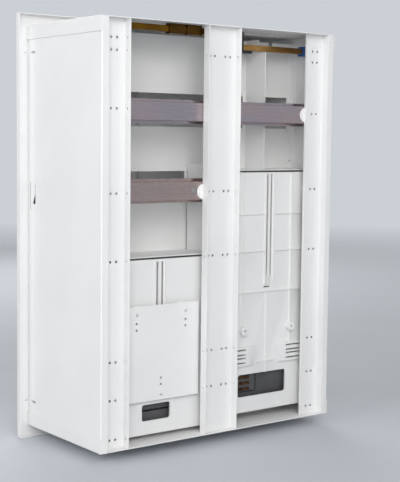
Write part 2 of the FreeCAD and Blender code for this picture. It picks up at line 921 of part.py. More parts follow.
vent_row = rectangle(outer_ramp, vent_foot - half_rib, inner_ramp, vent_foot + half_rib)
board.pad("XZ", board_rear, rib_rear, vent_row)
bars = [
    rectangle(x, -size.slit_foot, x + size.slit_bar, size.slit_top)
    for x in (slit_middle - bar_out, slit_middle + bar_start)
]
board.pad("XZ", board_rear, rib_rear, *bars)

boss_rear = board_rear + size.meter_boss_height
board.pad("XZ", board_rear, boss_rear, *(disc(x, z, size.meter_boss) for x, z in boss_places))
inner_end = inner_vent + half_vent + size.vent_pad_margin
outer_end = outer_vent - half_vent - size.vent_pad_margin
pads = (
    loop((inner_ramp, board_rear), (inner_end, board_rear), (inner_end, pad_rear), (inner_pad, pad_rear)),
    loop((outer_end, board_rear), (outer_ramp, board_rear), (outer_pad, pad_rear), (outer_end, pad_rear)),
)
board.pad("XY", pad_low, pad_high, *pads)

slits = [rectangle(x - slit_half, -size.slit_foot, x + slit_half, size.slit_top) for x in slit_centres]
board.cut("XZ", board_front, rib_rear, *slits)
window = rounded(window_left, window_low, window_right, window_high, size.window_corner)
vents = [
    rectangle(x - half_vent, level - size.vent_height, x + half_vent, level)
    for x in (inner_vent, outer_vent)
    for level in vent_levels
]
stop_top = -size.slit_foot - size.stop_slot_drop
stop_middle = slit_middle + size.stop_slot_shift
stop_slot = rectangle(
    stop_middle - size.stop_slot_width / 2,
    stop_top - size.stop_slot_height,
    stop_middle + size.stop_slot_width / 2,
    stop_top,
)
board.cut("XZ", board_front, rib_rear, window, stop_slot)
board.cut("XZ", board_front, pad_rear, *vents)
board.cut("XZ", board_front, boss_rear, *(disc(x, z, size.meter_boss_bore) for x, z in boss_places))
meter_places = [
    (x, z)
    for x in (size.middle_shift - size.middle_outer_column, -inner_column)
    for z in (size.row_lower_rail, row_terminal)
]
board.cut("XZ", board_front, board_rear, *(disc(x, z, size.board_hole) for x, z in meter_places))


# Terminal board, the plain plastic plate of the other field, and its cable window.
terminal_foot = size.terminal_board_rise - wall_top
small_middle = board_centre + size.small_window_offset
small_left = small_middle - size.small_window_width / 2
small_right = small_middle + size.small_window_width / 2
small_low = terminal_foot + size.small_window_rise
small_high = small_low + size.small_window_height

board = Piece("terminal_board")
outline = rectangle(board_edge, terminal_foot, board_far, -size.terminal_board_top)
board.pad("XZ", board_front, board_rear, outline)
terminal_middle = board_centre + size.terminal_slit_offset
half_pitch = size.terminal_slit_pitch / 2
bar_start = half_pitch + slit_half + size.slit_bar_gap
bars = [
    rectangle(x, -size.terminal_slit_foot, x + size.slit_bar, -size.terminal_slit_top)
    for x in (terminal_middle - bar_start - size.slit_bar, terminal_middle + bar_start)
]
board.pad("XZ", board_rear, rib_rear, *bars)
slits = [
    rectangle(x - slit_half, -size.terminal_slit_foot, x + slit_half, -size.terminal_slit_top)
    for x in (terminal_middle - half_pitch, terminal_middle + half_pitch)
]
small_window = rounded(small_left, small_low, small_right, small_high, size.small_window_corner)
board.cut("XZ", board_front, rib_rear, small_window, *slits)
terminal_places = [
    (x, z)
    for x in (size.middle_shift + size.middle_inner_column, inner_column)
    for z in (-row_upper, row_terminal)
]
board.cut("XZ", board_front, board_rear, *(disc(x, z, size.board_hole) for x, z in terminal_places))


# Board spacers stand between the webs and the boards, and the board screws run through them.
spacers = Piece("board_spacers")
board_places = meter_places + terminal_places
spacers.pad("XZ", board_rear, web_front, *(disc(x, z, size.spacer_diameter) for x, z in board_places))
spacers.cut("XZ", board_rear, web_front, *(disc(x, z, size.board_hole) for x, z in board_places))
screws(
    "board_screws",
    board_places,
    size.board_head,
    board_front - size.board_head_height,
    board_front,
    size.board_hole - size.thread_play * 2,
    size.thread_end,
)


# Meter hook: it slides up the double slot, with two legs that grip the bar between the slits, and its
# clamping screw holds it where the head of the meter hangs. It rests at the foot of the slot.
hook_rear = board_front - size.hook_play
hook_front = hook_rear - size.hook_thickness
leg_low = size.hook_stop_gap - size.slit_foot
leg_high = leg_low + size.hook_leg_height
hook_z = (leg_low + leg_high) / 2
hook_low = hook_z - size.hook_height / 2
hook_high = hook_z + size.hook_height / 2
half_hook = size.hook_width / 2
leg_half = slit_half - size.hook_play
lip_front = board_rear + size.hook_play
lip_rear = lip_front + size.hook_lip
hook_screw_z = hook_z - size.hook_screw_drop

hook = Piece("meter_hook")
block = rectangle(slit_middle - half_hook, hook_low, slit_middle + half_hook, hook_high)
hook.pad("XZ", hook_front, hook_rear, block)
legs = [rectangle(x - leg_half, leg_low, x + leg_half, leg_high) for x in slit_centres]
hook.pad("XZ", hook_rear, lip_rear, *legs)
for side, x in zip((1, -1), slit_centres):
    lip = rectangle(x, leg_low, x + side * (leg_half + size.hook_lip_reach), leg_high)
    hook.pad("XZ", lip_front, lip_rear, lip)
half_tip = size.hook_tip_width / 2
neck_front = hook_front - size.hook_neck
neck = rectangle(slit_middle - half_tip, hook_z, slit_middle + half_tip, hook_z + size.hook_neck_height)
hook.pad("XZ", neck_front, hook_front, neck)
tip = rectangle(slit_middle - half_tip, hook_z, slit_middle + half_tip, hook_z + size.hook_tip_height)
hook.pad("XZ", neck_front - size.hook_tip, neck_front, tip)
hook.cut("XZ", hook_front, hook_rear, disc(slit_middle, hook_screw_z, size.small_screw))

screws(
    "meter_hook_screw",
    [(slit_middle, hook_screw_z)],
    size.small_head,
    hook_front - size.small_head_height,
    hook_front,
    size.small_screw,
    hook_rear,
)


# Mounting plate behind the terminal board, on three spacers, with a row of holes up each side.
plate_front = board_rear + size.plate_standoff
plate_rear = plate_front + size.plate_gauge
plate_left = middle_right - size.plate_shift
plate_right = upright_in - size.plate_shift
plate_top = -size.plate_top
plate_foot = terminal_foot + size.plate_rise
plate_centre = (plate_left + plate_right) / 2
plate_columns = (plate_centre - size.plate_column, plate_centre + size.plate_column)
plate_fixings = [(x, plate_top - size.plate_row) for x in plate_columns]
plate_fixings.append((plate_centre, plate_foot + size.plate_low_row))
open_holes = [
    (x, plate_top - drop) for x in plate_columns for drop in (size.plate_row_second, size.plate_row_third)
]
open_holes += [(plate_centre, plate_foot + rise) for rise in (size.plate_low_second, size.plate_low_third)]

plate = Piece("mounting_plate")
outline = rectangle(plate_left, plate_foot, plate_right, plate_top)
plate.pad("XZ", plate_front, plate_rear, outline)
half_tab = size.plate_tab_width / 2
tab_outline = rectangle(
    size.plate_tab_x - half_tab,
    plate_top,
    size.plate_tab_x + half_tab,
    plate_top + size.plate_tab_height,
)
plate.pad("XZ", plate_front, plate_rear, tab_outline)
plate.cut("XZ", plate_front, plate_rear, *(disc(x, z, size.plate_hole) for x, z in open_holes))
plate.cut("XZ", plate_front, plate_rear, *(disc(x, z, size.small_screw) for x, z in plate_fixings))

spacers = Piece("plate_spacers")
spacers.pad("XZ", board_rear, plate_front, *(disc(x, z, size.plate_spacer) for x, z in plate_fixings))
spacers.cut("XZ", board_rear, plate_front, *(disc(x, z, size.small_screw) for x, z in plate_fixings))

plate_screws = Piece("plate_screws")
head_rear = plate_rear + size.small_head_height
plate_screws.pad("XZ", plate_rear, head_rear, *(disc(x, z, size.plate_head) for x, z in plate_fixings))
plate_screws.pad("XZ", board_rear, head_rear, *(disc(x, z, size.small_screw) for x, z in plate_fixings))
add_drives(plate_screws, plate_fixings, size.plate_head, head_rear - size.drive_depth, head_rear)


# Terminal carriers behind the two windows, each a plate on two legs that stand on the board's front. The
# left one has a raised block with a groove beside and under it, and the right one has a slit.
carrier_rear = board_front - size.carrier_depth
carrier_front = carrier_rear - size.carrier_gauge


def carrier(label, left, right, low, high):
    """A carrier that reaches past a window on every side. Returns the piece."""
    start = left - size.carrier_margin
    end = right + size.carrier_margin
    foot = low - size.carrier_margin
    top = high + size.carrier_margin
    piece = Piece(label)
    piece.pad("XZ", carrier_front, carrier_rear, rectangle(start, foot, end, top))
    leg_one = rectangle(start, foot, start + size.carrier_leg, top)
    leg_two = rectangle(end - size.carrier_leg, foot, end, top)
    piece.pad("XZ", carrier_rear, board_front, leg_one, leg_two)
    return piece


left_carrier = carrier("terminal_carrier_left", window_left, window_right, window_low, window_high)
supply_rear = carrier_rear + size.supply_depth
supply_left = window_right - size.supply_width
supply_low = window_low + size.supply_rise
supply_high = window_high - size.supply_inset
block = rectangle(supply_left, supply_low, window_right, supply_high)
left_carrier.pad("XZ", carrier_rear, supply_rear, block)
groove_right = supply_left - size.groove_side_gap
groove_left = groove_right - size.groove_width
groove_top = supply_low - size.groove_foot_gap
groove_low = groove_top - size.groove_width
groove = loop(
    (groove_left, groove_low),
    (window_right, groove_low),
    (window_right, groove_top),
    (groove_right, groove_top),
    (groove_right, supply_high),
    (groove_left, supply_high),
)
left_carrier.cut("XZ", carrier_rear - size.groove_depth, carrier_rear, groove)

supply = Piece("supply_terminal")
supply_middle = (supply_low + supply_high) / 2
contacts = [
    rectangle(
        window_right - size.contact_width,
        supply_middle + step * size.contact_pitch - size.contact_height / 2,
        window_right,
        supply_middle + step * size.contact_pitch + size.contact_height / 2,
    )
    for step in (-1, 0, 1)
]
supply.pad("XZ", supply_rear, supply_rear + size.contact_depth, *contacts)

right_carrier = carrier("terminal_carrier_right", small_left, small_right, small_low, small_high)
slit_reach = size.carrier_margin - size.carrier_leg
slit_top = small_high - size.carrier_slit_drop
gap_outline = rectangle(
    small_left - slit_reach, slit_top - size.carrier_slit, small_right + slit_reach, slit_top
)
right_carrier.cut("XZ", carrier_front, carrier_rear, gap_outline)


# Hoods over the terminals, in front of the boards.
hoods = (
    ("hood_left", -board_far, -board_edge, meter_foot, window_high + size.hood_left_lap),
    ("hood_right", board_edge, board_far, terminal_foot, small_high + size.hood_right_lap),
)
for label, left, right, foot, top in hoods:
    hood = Piece(label)
    start = left + size.hood_margin
    end = right - size.hood_margin
    low = foot + size.hood_foot_rise
    hood.pad("XZ", cover_front, board_front, rectangle(start, low, end, top))
    hollow = rectangle(
        start + size.hood_wall, low + size.hood_wall, end - size.hood_wall, top - size.hood_wall
    )
    hood.cut("XZ", cover_front + size.hood_wall, board_front, hollow)


# Neutral bar under the top cap, in two clamping blocks.
neutral_top = wall_top - size.neutral_drop
neutral_low = neutral_top - size.bar_height
neutral_rear = bar_half - size.neutral_depth
neutral_front = -size.neutral_depth - bar_half
neutral_left = middle_right - size.neutral_lap
neutral_right = upright_in - size.neutral_end_gap

bar = Piece("bar_neutral")
profile = rectangle(neutral_front, neutral_low, neutral_rear, neutral_top)
bar.pad("YZ", neutral_left, neutral_right, profile)

clamps = Piece("neutral_clamps")
clamp_outlines = [
    rectangle(x - size.clamp_length / 2, neutral_low - size.clamp_below, x + size.clamp_length / 2, wall_top)
    for x in (size.clamp_first, size.clamp_second)
]
clamps.pad("XZ", neutral_front - size.clamp_wall, neutral_rear + size.clamp_wall, *clamp_outlines)
clamps.cut("YZ", neutral_left, neutral_right, profile)


# Earth bar across the meter field, in a blue holder on the left wall and a black clip under the cap.
earth_high = earth_z + size.bar_height / 2
earth_rear = bar_half - size.earth_depth
earth_front = -size.earth_depth - bar_half
earth_left = size.earth_end_gap - wall_in

bar = Piece("bar_earth")
earth_profile = rectangle(earth_front, earth_low, earth_rear, earth_high)
bar.pad("YZ", earth_left, -size.earth_right, earth_profile)

holder = Piece("earth_holder")
holder_half = size.holder_width / 2
holder_end = size.holder_reach - wall_in
holder_outline = rectangle(
    -size.earth_depth - holder_half,
    earth_low - size.holder_below,
    holder_half - size.earth_depth,
    earth_high + size.holder_above,
)
holder.pad("YZ", -wall_in, holder_end, holder_outline)
holder.cut("YZ", earth_left, holder_end, earth_profile)

clip = Piece("earth_clip")
clip_front = earth_front - size.clamp_wall
clip_rear = earth_rear + size.clamp_wall
clip_low = earth_low - size.clip_jaw_height
post = rectangle(-size.earth_right - size.clip_post, clip_low, -size.earth_right, wall_top)
clip.pad("XZ", clip_front, clip_rear, post)
jaw = rectangle(-size.earth_right - size.clip_jaw, clip_low, -size.earth_right, earth_low)
clip.pad("XZ", clip_front, clip_rear, jaw)
clip.cut("YZ", -size.earth_right - size.clip_post, -size.earth_right, earth_profile)


# Screw heads on the front of both bars, one over each wire hole.
def screw_row(start, end, height):
    """As many screw heads as fit between start and end, at the bars' pitch."""
    steps = int(value_of((end - start) / size.bar_screw_pitch))
    places = [start + size.bar_screw_pitch * step for step in range(steps + 1)]
    return [disc(x, height, size.bar_screw) for x in places]


heads = Piece("bar_screws")
first_head = size.clamp_first + size.clamp_length / 2 + size.bar_screw_margin
last_head = neutral_right - size.bar_screw_margin
neutral_heads = screw_row(first_head, last_head, neutral_low + size.bar_height / 2)
heads.pad("XZ", neutral_front - size.bar_screw_height, neutral_front, *neutral_heads)
earth_heads = screw_row(holder_end + size.bar_screw_margin, switch_low - size.bar_screw_margin, earth_z)
heads.pad("XZ", earth_front - size.bar_screw_height, earth_front, *earth_heads)


# Trim frame: two full-height side members with a top and a bottom member between them. Each has a deep
# lip around the outside and another around the opening for the door.
frame_face = front - size.gauge
frame_out = half_width + size.frame_overhang
frame_top = half_height + size.frame_overhang
opening = frame_out - size.frame_member
opening_top = frame_top - size.frame_member
outer_lip_rear = frame_face + size.frame_outer_lip
inner_lip_rear = frame_face + size.frame_inner_lip
frame_hole_x = frame_out - size.frame_hole_inset

for name, side in BOTH_SIDES:
    member = Piece(f"frame_side_{name}")
    face = rectangle(side * opening, -frame_top, side * frame_out, frame_top)
    member.pad("XZ", frame_face, front, face)
    lip = rectangle(frame_face, -frame_top, outer_lip_rear, frame_top)
    member.pad("YZ", *span(side, frame_out - size.gauge, frame_out), lip)
    for _, end in BOTH_ENDS:
        end_lip = rectangle(side * opening, frame_face, side * frame_out, outer_lip_rear)
        member.pad("XY", *span(end, frame_top - size.gauge, frame_top), end_lip)
    lip = rectangle(frame_face, -opening_top, inner_lip_rear, opening_top)
    member.pad("YZ", *span(side, opening, opening + size.gauge), lip)
    holes = [disc(side * frame_hole_x, z, size.frame_hole) for z in frame_slots]
    member.cut("XZ", frame_face, front, *holes)

hinge_x = size.hinge_inset + size.door_gap - opening
hinge_y = frame_face + size.hinge_setback

for name, end in BOTH_ENDS:
    member = Piece(f"frame_{name}")
    face = rectangle(-opening, end * opening_top, opening, end * frame_top)
    member.pad("XZ", frame_face, front, face)
    lip = rectangle(-opening, frame_face, opening, outer_lip_rear)
    member.pad("XY", *span(end, frame_top - size.gauge, frame_top), lip)
    lip = rectangle(-opening, frame_face, opening, inner_lip_rear)
    lip_level = span(end, opening_top, opening_top + size.gauge)
    member.pad("XY", *lip_level, lip)
    member.cut("XY", *lip_level, disc(hinge_x, hinge_y, size.pin_diameter))

# Frame brackets: angles behind the side walls' front flanges, screwed through the slots in the walls.
flange_rear = front + size.gauge
bracket_rear = flange_rear + size.bracket_depth
half_bracket = size.bracket_height / 2
slot_centre = front + size.frame_slot_front + size.frame_slot_length / 2
brackets = Piece("frame_brackets")
frame_screws = Piece("frame_screws")
for _, side in BOTH_SIDES:
    faces = [
        rectangle(side * front_flange_edge, z - half_bracket, side * wall_in, z + half_bracket)
        for z in frame_slots
    ]
    brackets.pad("XZ", flange_rear, flange_rear + size.gauge, *faces)
    legs = [rectangle(flange_rear, z - half_bracket, bracket_rear, z + half_bracket) for z in frame_slots]
    bracket_leg = span(side, wall_in - size.gauge, wall_in)
    brackets.pad("YZ", *bracket_leg, *legs)
    brackets.cut("YZ", *bracket_leg, *(disc(slot_centre, z, size.small_screw) for z in frame_slots))
    head_inside = wall_in - size.gauge - size.small_head_height
    heads = [disc(slot_centre, z, size.small_head) for z in frame_slots]
    frame_screws.pad("YZ", *span(side, head_inside, wall_in - size.gauge), *heads)
    shanks = [disc(slot_centre, z, size.small_screw) for z in frame_slots]
    frame_screws.pad("YZ", *span(side, head_inside, wall_out), *shanks)


# Door: a flush leaf with a return on each edge, which fills the frame's opening.
door_half = opening - size.door_gap
door_top = opening_top - size.door_gap
door_rear = front + size.door_return
leaf_inner = door_half - size.gauge
leaf_inner_top = door_top - size.gauge

leaf = Piece("door_leaf")
leaf.pad("XZ", frame_face, front, rectangle(-door_half, -door_top, door_half, door_top))
for _, side in BOTH_SIDES:
    fold = rectangle(front, -door_top, door_rear, door_top)
    leaf.pad("YZ", *span(side, leaf_inner, door_half), fold)
bore = size.pin_diameter + size.pin_play * 2
sleeve = bore + size.bush_wall * 2
for _, end in BOTH_ENDS:
    fold = rectangle(-door_half, front, door_half, door_rear)
    leaf.pad("XY", *span(end, leaf_inner_top, door_top), fold)
    leaf.cut("XY", *span(end, leaf_inner_top, door_top), disc(hinge_x, hinge_y, sleeve))
latch_x = door_half - size.latch_inset
latch_hole = size.latch_barrel + size.latch_hole_gap * 2
leaf.cut("XZ", frame_face, front, disc(latch_x, size.latch_z, latch_hole))

stiffener = Piece("door_stiffener")
half_hat = size.stiffener_width / 2
hat_rear = front + size.stiffener_depth
hat_out = half_hat + size.stiffener_foot
stiffener_top = door_top - size.stiffener_end_gap
profile = loop(
    (-hat_out, front),
    (size.gauge - half_hat, front),
    (size.gauge - half_hat, hat_rear - size.gauge),
    (half_hat - size.gauge, hat_rear - size.gauge),
    (half_hat - size.gauge, front),
    (hat_out, front),
    (hat_out, flange_rear),
    (half_hat, flange_rear),
    (half_hat, hat_rear),
    (-half_hat, hat_rear),
    (-half_hat, flange_rear),
    (-hat_out, flange_rear),
)
stiffener.pad("XY", -stiffener_top, stiffener_top, profile)


# Hinges: a pin through each lip of the frame, in a boss above it, turns in a bush in the door's return.
pins = Piece("hinge_pins")
bushes = Piece("hinge_bushes")
bosses = Piece("hinge_bosses")
boss_start = opening_top + size.gauge
boss_end = boss_start + size.boss_height
half_boss = size.boss_width / 2
boss_rear = hinge_y + size.boss_back
for _, end in BOTH_ENDS:
    shaft = disc(hinge_x, hinge_y, size.pin_diameter)
    pins.pad("XY", *span(end, door_top - size.pin_reach, boss_end), shaft)
    collar = disc(hinge_x, hinge_y, size.pin_collar)
    pins.pad("XY", *span(end, opening_top - size.pin_collar_height, opening_top), collar)
    block = rectangle(hinge_x - half_boss, flange_rear, hinge_x + half_boss, boss_rear)
    bosses.pad("XY", *span(end, boss_start, boss_end), block)
    bosses.cut("XY", *span(end, boss_start, boss_end), disc(hinge_x, hinge_y, size.pin_diameter))
    tube = span(end, door_top - size.bush_length, door_top)
    bushes.pad("XY", *tube, disc(hinge_x, hinge_y, sleeve))
    flange_level = span(end, door_top, door_top + size.bush_flange_height)
    bushes.pad("XY", *flange_level, disc(hinge_x, hinge_y, size.bush_flange))
    through = span(end, door_top - size.bush_length, door_top + size.bush_flange_height)
    bushes.cut("XY", *through, disc(hinge_x, hinge_y, bore))


# Latch: a quarter-turn lock in the door. Its cam hangs down at rest and swings behind the strike.
latch = (latch_x, size.latch_z)
barrel_rear = frame_face + size.latch_length
housing = Piece("latch_housing")
flange_front = frame_face - size.latch_flange_height
housing.pad("XZ", flange_front, frame_face, disc(*latch, size.latch_flange))
housing.pad("XZ", frame_face, barrel_rear, disc(*latch, size.latch_barrel))
housing.cut("XZ", flange_front, barrel_rear, disc(*latch, size.latch_bore))

nut = Piece("latch_nut")
nut.pad("XZ", front, front + size.latch_nut_height, disc(*latch, size.latch_nut))
nut.cut("XZ", front, front + size.latch_nut_height, disc(*latch, size.latch_barrel))

strike_rear = front + size.strike_back
cam_front = strike_rear + size.cam_gap
cam_rear = cam_front + size.cam_gauge
rotor = Piece("latch_rotor")
rotor_diameter = size.latch_bore - size.latch_play * 2
rotor.pad("XZ", flange_front, cam_front, disc(*latch, rotor_diameter))
half_key = size.latch_slot_width / 2
key_reach = rotor_diameter / 2 - size.latch_slot_width
key = rectangle(
    latch_x - half_key,
    size.latch_z - key_reach,
    latch_x + half_key,
    size.latch_z + key_reach,
)
rotor.cut("XZ", flange_front, flange_front + size.latch_slot_depth, key)
rotor.cut("XZ", cam_rear - size.cam_screw_length, cam_front, disc(*latch, size.cam_screw))

cam = Piece("latch_cam")
half_cam = size.cam_width / 2
arm = rectangle(
    latch_x - half_cam,
    size.latch_z - size.cam_length,
    latch_x + half_cam,
    size.latch_z + half_cam,
)
cam.pad("XZ", cam_front, cam_rear, arm)
cam.cut("XZ", cam_front, cam_rear, disc(*latch, size.cam_screw))

screw = Piece("latch_screw")
screw_head_rear = cam_rear + size.cam_screw_height
screw.pad("XZ", cam_rear, screw_head_rear, disc(*latch, size.cam_screw_head))
screw.pad("XZ", cam_rear - size.cam_screw_length, screw_head_rear, disc(*latch, size.cam_screw))
add_drives(screw, [latch], size.cam_screw_head, screw_head_rear - size.drive_depth, screw_head_rear)

strike = Piece("latch_strike")
half_strike = size.strike_height / 2
block = rectangle(
    front + size.strike_front, size.latch_z - half_strike, strike_rear, size.latch_z + half_strike
)
strike.pad("YZ", wall_in - size.strike_thickness, wall_in, block)


doc.recompute()

for item in doc.Objects:
    if {"Invalid", "Error"} & set(item.State):
        raise RuntimeError(f"{item.Name} failed: {item.State}")
    if item.isDerivedFrom("PartDesign::Pocket"):
        removed = item.BaseFeature.Shape.Volume - item.Shape.Volume
        if removed <= 0:
            raise RuntimeError(f"{item.Name} cuts nothing")

bodies = [item for item in doc.Objects if item.isDerivedFrom("PartDesign::Body")]
for body in bodies:
    if body.Shape.isNull() or not body.Shape.isValid() or not body.Shape.Solids:
        raise RuntimeError(f"{body.Label} has no sound shape")

os.makedirs("parts", exist_ok=True)
for body in bodies:
    body.Shape.exportStep(f"parts/{body.Label}.step")
print(f"{len(bodies)} pieces written")
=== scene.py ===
# A flush-mount meter and distribution cabinet, seen from behind: white folded steel, two hat rails,
# brass bars, two plastic boards, a trim frame and a door. Every length is in metres, in the cabinet's
# own frame.

import math

import bmesh
import bpy
from mathutils import Euler, Matrix, Vector
from mathutils.bvhtree import BVHTree


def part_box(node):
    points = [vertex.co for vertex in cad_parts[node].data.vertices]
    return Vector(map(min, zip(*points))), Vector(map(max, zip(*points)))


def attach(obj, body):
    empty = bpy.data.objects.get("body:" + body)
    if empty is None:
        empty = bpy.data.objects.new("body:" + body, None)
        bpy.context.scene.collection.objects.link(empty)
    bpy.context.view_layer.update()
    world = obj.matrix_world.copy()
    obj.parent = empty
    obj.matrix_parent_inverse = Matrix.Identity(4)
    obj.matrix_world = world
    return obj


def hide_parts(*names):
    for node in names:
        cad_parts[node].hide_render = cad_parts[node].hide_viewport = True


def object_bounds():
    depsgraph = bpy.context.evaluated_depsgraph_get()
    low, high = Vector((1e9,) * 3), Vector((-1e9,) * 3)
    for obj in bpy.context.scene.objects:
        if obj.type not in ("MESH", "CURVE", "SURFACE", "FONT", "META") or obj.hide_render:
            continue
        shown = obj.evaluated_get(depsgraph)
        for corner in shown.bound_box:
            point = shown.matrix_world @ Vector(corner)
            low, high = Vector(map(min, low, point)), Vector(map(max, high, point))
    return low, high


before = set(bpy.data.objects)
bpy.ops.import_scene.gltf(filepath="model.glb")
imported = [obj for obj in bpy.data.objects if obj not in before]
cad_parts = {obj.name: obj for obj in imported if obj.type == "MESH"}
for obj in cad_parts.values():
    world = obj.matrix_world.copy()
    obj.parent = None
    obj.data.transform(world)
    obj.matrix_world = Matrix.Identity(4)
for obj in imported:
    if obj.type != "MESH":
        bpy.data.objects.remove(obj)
cad_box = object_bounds()


# Caps and side walls ------------------------------------------------------------------------------
# The body's four sheets of 1.2 mm steel, folded on a press and sprayed with white powder. The bends
# are round, the cut edges only lose their burr, and the powder dries to a fine orange peel.
SHEET_GAUGE = 0.0012
SHEET_BEND = 0.0016
SHEET_EDGE = 0.00022
BEND_STEPS = 3
RIM_WIDTH = 0.0026
NARROW_SHARE = 0.34
WELD_REACH = 0.000005
SKIN_DEPTH = 0.0001
PLACES_ALONG = (0.02, 0.5, 0.98)
FLAT_TURN = math.radians(0.5)
CORNER_TURN = math.radians(28)


def flats_of(build):
    """The mesh's faces in groups, each of which lies in one plane without a break."""
    seen = set()
    groups = []
    for first in build.faces:
        group = [] if first in seen else [first]
        seen.update(group)
        for face in group:
            level = [line for line in face.edges if line.calc_face_angle(math.pi) < FLAT_TURN]
            fresh = [other for line in level for other in line.link_faces if other not in seen]
            seen.update(fresh)
            group.extend(dict.fromkeys(fresh))
        groups.append(group)
    return groups


def is_pierced(flat):
    """Whether a flat has a hole, and so more than one closed outline."""
    inside = set(flat)
    rim = {line for face in flat for line in face.edges if len(inside & set(line.link_faces)) == 1}
    outline = [rim.pop()]
    for line in outline:
        fresh = {other for end in line.verts for other in end.link_edges} & rim
        rim -= fresh
        outline.extend(fresh)
    return bool(rim)


def joined_mesh(node):
    """A cabinet piece's mesh in an edit mesh. The triangles of a flat without holes become one face."""
    build = bmesh.new()
    build.from_mesh(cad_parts[node].data)
    bmesh.ops.remove_doubles(build, verts=build.verts, dist=WELD_REACH)
    for flat in flats_of(build):
        if len(flat) > 1 and not is_pierced(flat):
            bmesh.ops.dissolve_faces(build, faces=flat)
    return build


def reach_across(solid, corner):
    """How far a face goes on, straight away from one of its edges, to its next edge or wall."""
    start = corner.vert.co
    end = corner.link_loop_next.vert.co
    inward = corner.face.normal.cross((end - start).normalized())
    reach = RIM_WIDTH
    for below_or_above in (-1, 1):
        skin = SKIN_DEPTH * (inward + below_or_above * corner.face.normal)
        for share in PLACES_ALONG:
            struck = solid.ray_cast(start.lerp(end, share) + skin, inward, reach)
            reach = reach if struck[3] is None else struck[3]
    return reach


def edge_radius(solid, line, bend, cut):
    """The bend's radius between wide faces, less the gauge inside, and the small one at cut edges."""
    if len(line.link_faces) != 2 or line.calc_face_angle() < CORNER_TURN:
        return 0.0
    reach = min(reach_across(solid, corner) for corner in line.link_loops)
    if reach < RIM_WIDTH:
        return min(cut, reach * NARROW_SHARE)
    return bend if line.is_convex else max(cut, bend - SHEET_GAUGE)


def plain_piece(name, mesh, material):
    """An object with one material, smooth in its bends and sharp at its corners."""
    piece = bpy.data.objects.new(name, mesh)
    bpy.context.scene.collection.objects.link(piece)
    mesh.materials.clear()
    mesh.materials.append(material)
    mesh.shade_smooth()
    mesh.set_sharp_from_angle(angle=CORNER_TURN)
    return piece


def finished(node, body, material, bend, cut):
    """The finished form of a cabinet piece: the same shape with its bends and edges rounded."""
    build = joined_mesh(node)
    if bend > cut:
        bmesh.ops.dissolve_limit(build, angle_limit=FLAT_TURN, verts=build.verts, edges=build.edges)
    solid = BVHTree.FromBMesh(build)
    weight = build.edges.layers.float.new("bevel_weight_edge")
    for line in build.edges:
        line[weight] = edge_radius(solid, line, bend, cut) / bend
    mesh = bpy.data.meshes.new(f"{node}_finished")
    build.to_mesh(mesh)
    build.free()
    piece = plain_piece(f"{node}_finished", mesh, material)
    rounding = piece.modifiers.new("rounding", "BEVEL")
    rounding.limit_method = "WEIGHT"
    rounding.width = bend
    rounding.segments = BEND_STEPS
    rounding.use_clamp_overlap = False
    rounding.loop_slide = False
    rounding.harden_normals = True
    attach(piece, body)
    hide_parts(node)


def new_finish(name, roughness, metallic=0.0):
    """A material with its shader, its node tree and the object's own coordinates."""
    material = bpy.data.materials.new(name)
    material.use_nodes = True
    tree = material.node_tree
    shader = tree.nodes["Principled BSDF"]
    shader.inputs["Roughness"].default_value = roughness
    shader.inputs["Metallic"].default_value = metallic
    place = tree.nodes.new("ShaderNodeTexCoord").outputs["Object"]
    return material, tree, shader, place


def grain(tree, place, waves, detail=3.0, stretch=(1, 1, 1)):
    """Noise of a given number of waves to the metre, drawn out along an axis where stretch is small."""
    turn = tree.nodes.new("ShaderNodeMapping")
    turn.inputs["Scale"].default_value = stretch
    noise = tree.nodes.new("ShaderNodeTexNoise")
    noise.inputs["Scale"].default_value = waves
    noise.inputs["Detail"].default_value = detail
    tree.links.new(place, turn.inputs["Vector"])
    tree.links.new(turn.outputs["Vector"], noise.inputs["Vector"])
    return noise.outputs[0]


def spread(tree, source, low=0.0, high=1.0, start=0.35, end=0.65):
    """Turns a noise into a value that runs from low to high."""
    ramp = tree.nodes.new("ShaderNodeMapRange")
    for socket, value in (("From Min", start), ("From Max", end), ("To Min", low), ("To Max", high)):
        ramp.inputs[socket].default_value = value
    tree.links.new(source, ramp.inputs["Value"])
    return ramp.outputs["Result"]


def blended(tree, factor, one, two):
    """A colour between two others, either of which may be another node's output."""
    mix = tree.nodes.new("ShaderNodeMix")
    mix.data_type = "RGBA"
    tree.links.new(factor, mix.inputs[0])
    for socket, colour in ((mix.inputs[6], one), (mix.inputs[7], two)):
        if isinstance(colour, tuple):
            socket.default_value = (*colour, 1)
        else:
            tree.links.new(colour, socket)
    return mix.outputs[2]


def raise_surface(tree, shader, height, distance, strength):
    """Lifts the surface by a noise, up to a given distance."""
    bump = tree.nodes.new("ShaderNodeBump")
    bump.inputs["Strength"].default_value = strength
    bump.inputs["Distance"].default_value = distance
    tree.links.new(height, bump.inputs["Height"])
    tree.links.new(bump.outputs["Normal"], shader.inputs["Normal"])


def powder_coat(name, bright, dull):
    """White polyester powder: orange peel about 1 mm across and a very slight unevenness of tint."""
    material, tree, shader, place = new_finish(name, roughness=0.36)
    tint = blended(tree, spread(tree, grain(tree, place, waves=9)), bright, dull)
    tree.links.new(tint, shader.inputs["Base Color"])
    gloss = spread(tree, grain(tree, place, waves=60), low=0.32, high=0.43)
    tree.links.new(gloss, shader.inputs["Roughness"])
    peel = grain(tree, place, waves=800, detail=2.0)
    raise_surface(tree, shader, peel, distance=0.00003, strength=0.5)
    return material


body_white = powder_coat("body_powder_coat", bright=(0.86, 0.86, 0.855), dull=(0.83, 0.83, 0.83))

for sheet in ("side_wall_right", "side_wall_left", "cap_top", "cap_bottom"):
    finished(sheet, "root", body_white, SHEET_BEND, SHEET_EDGE)


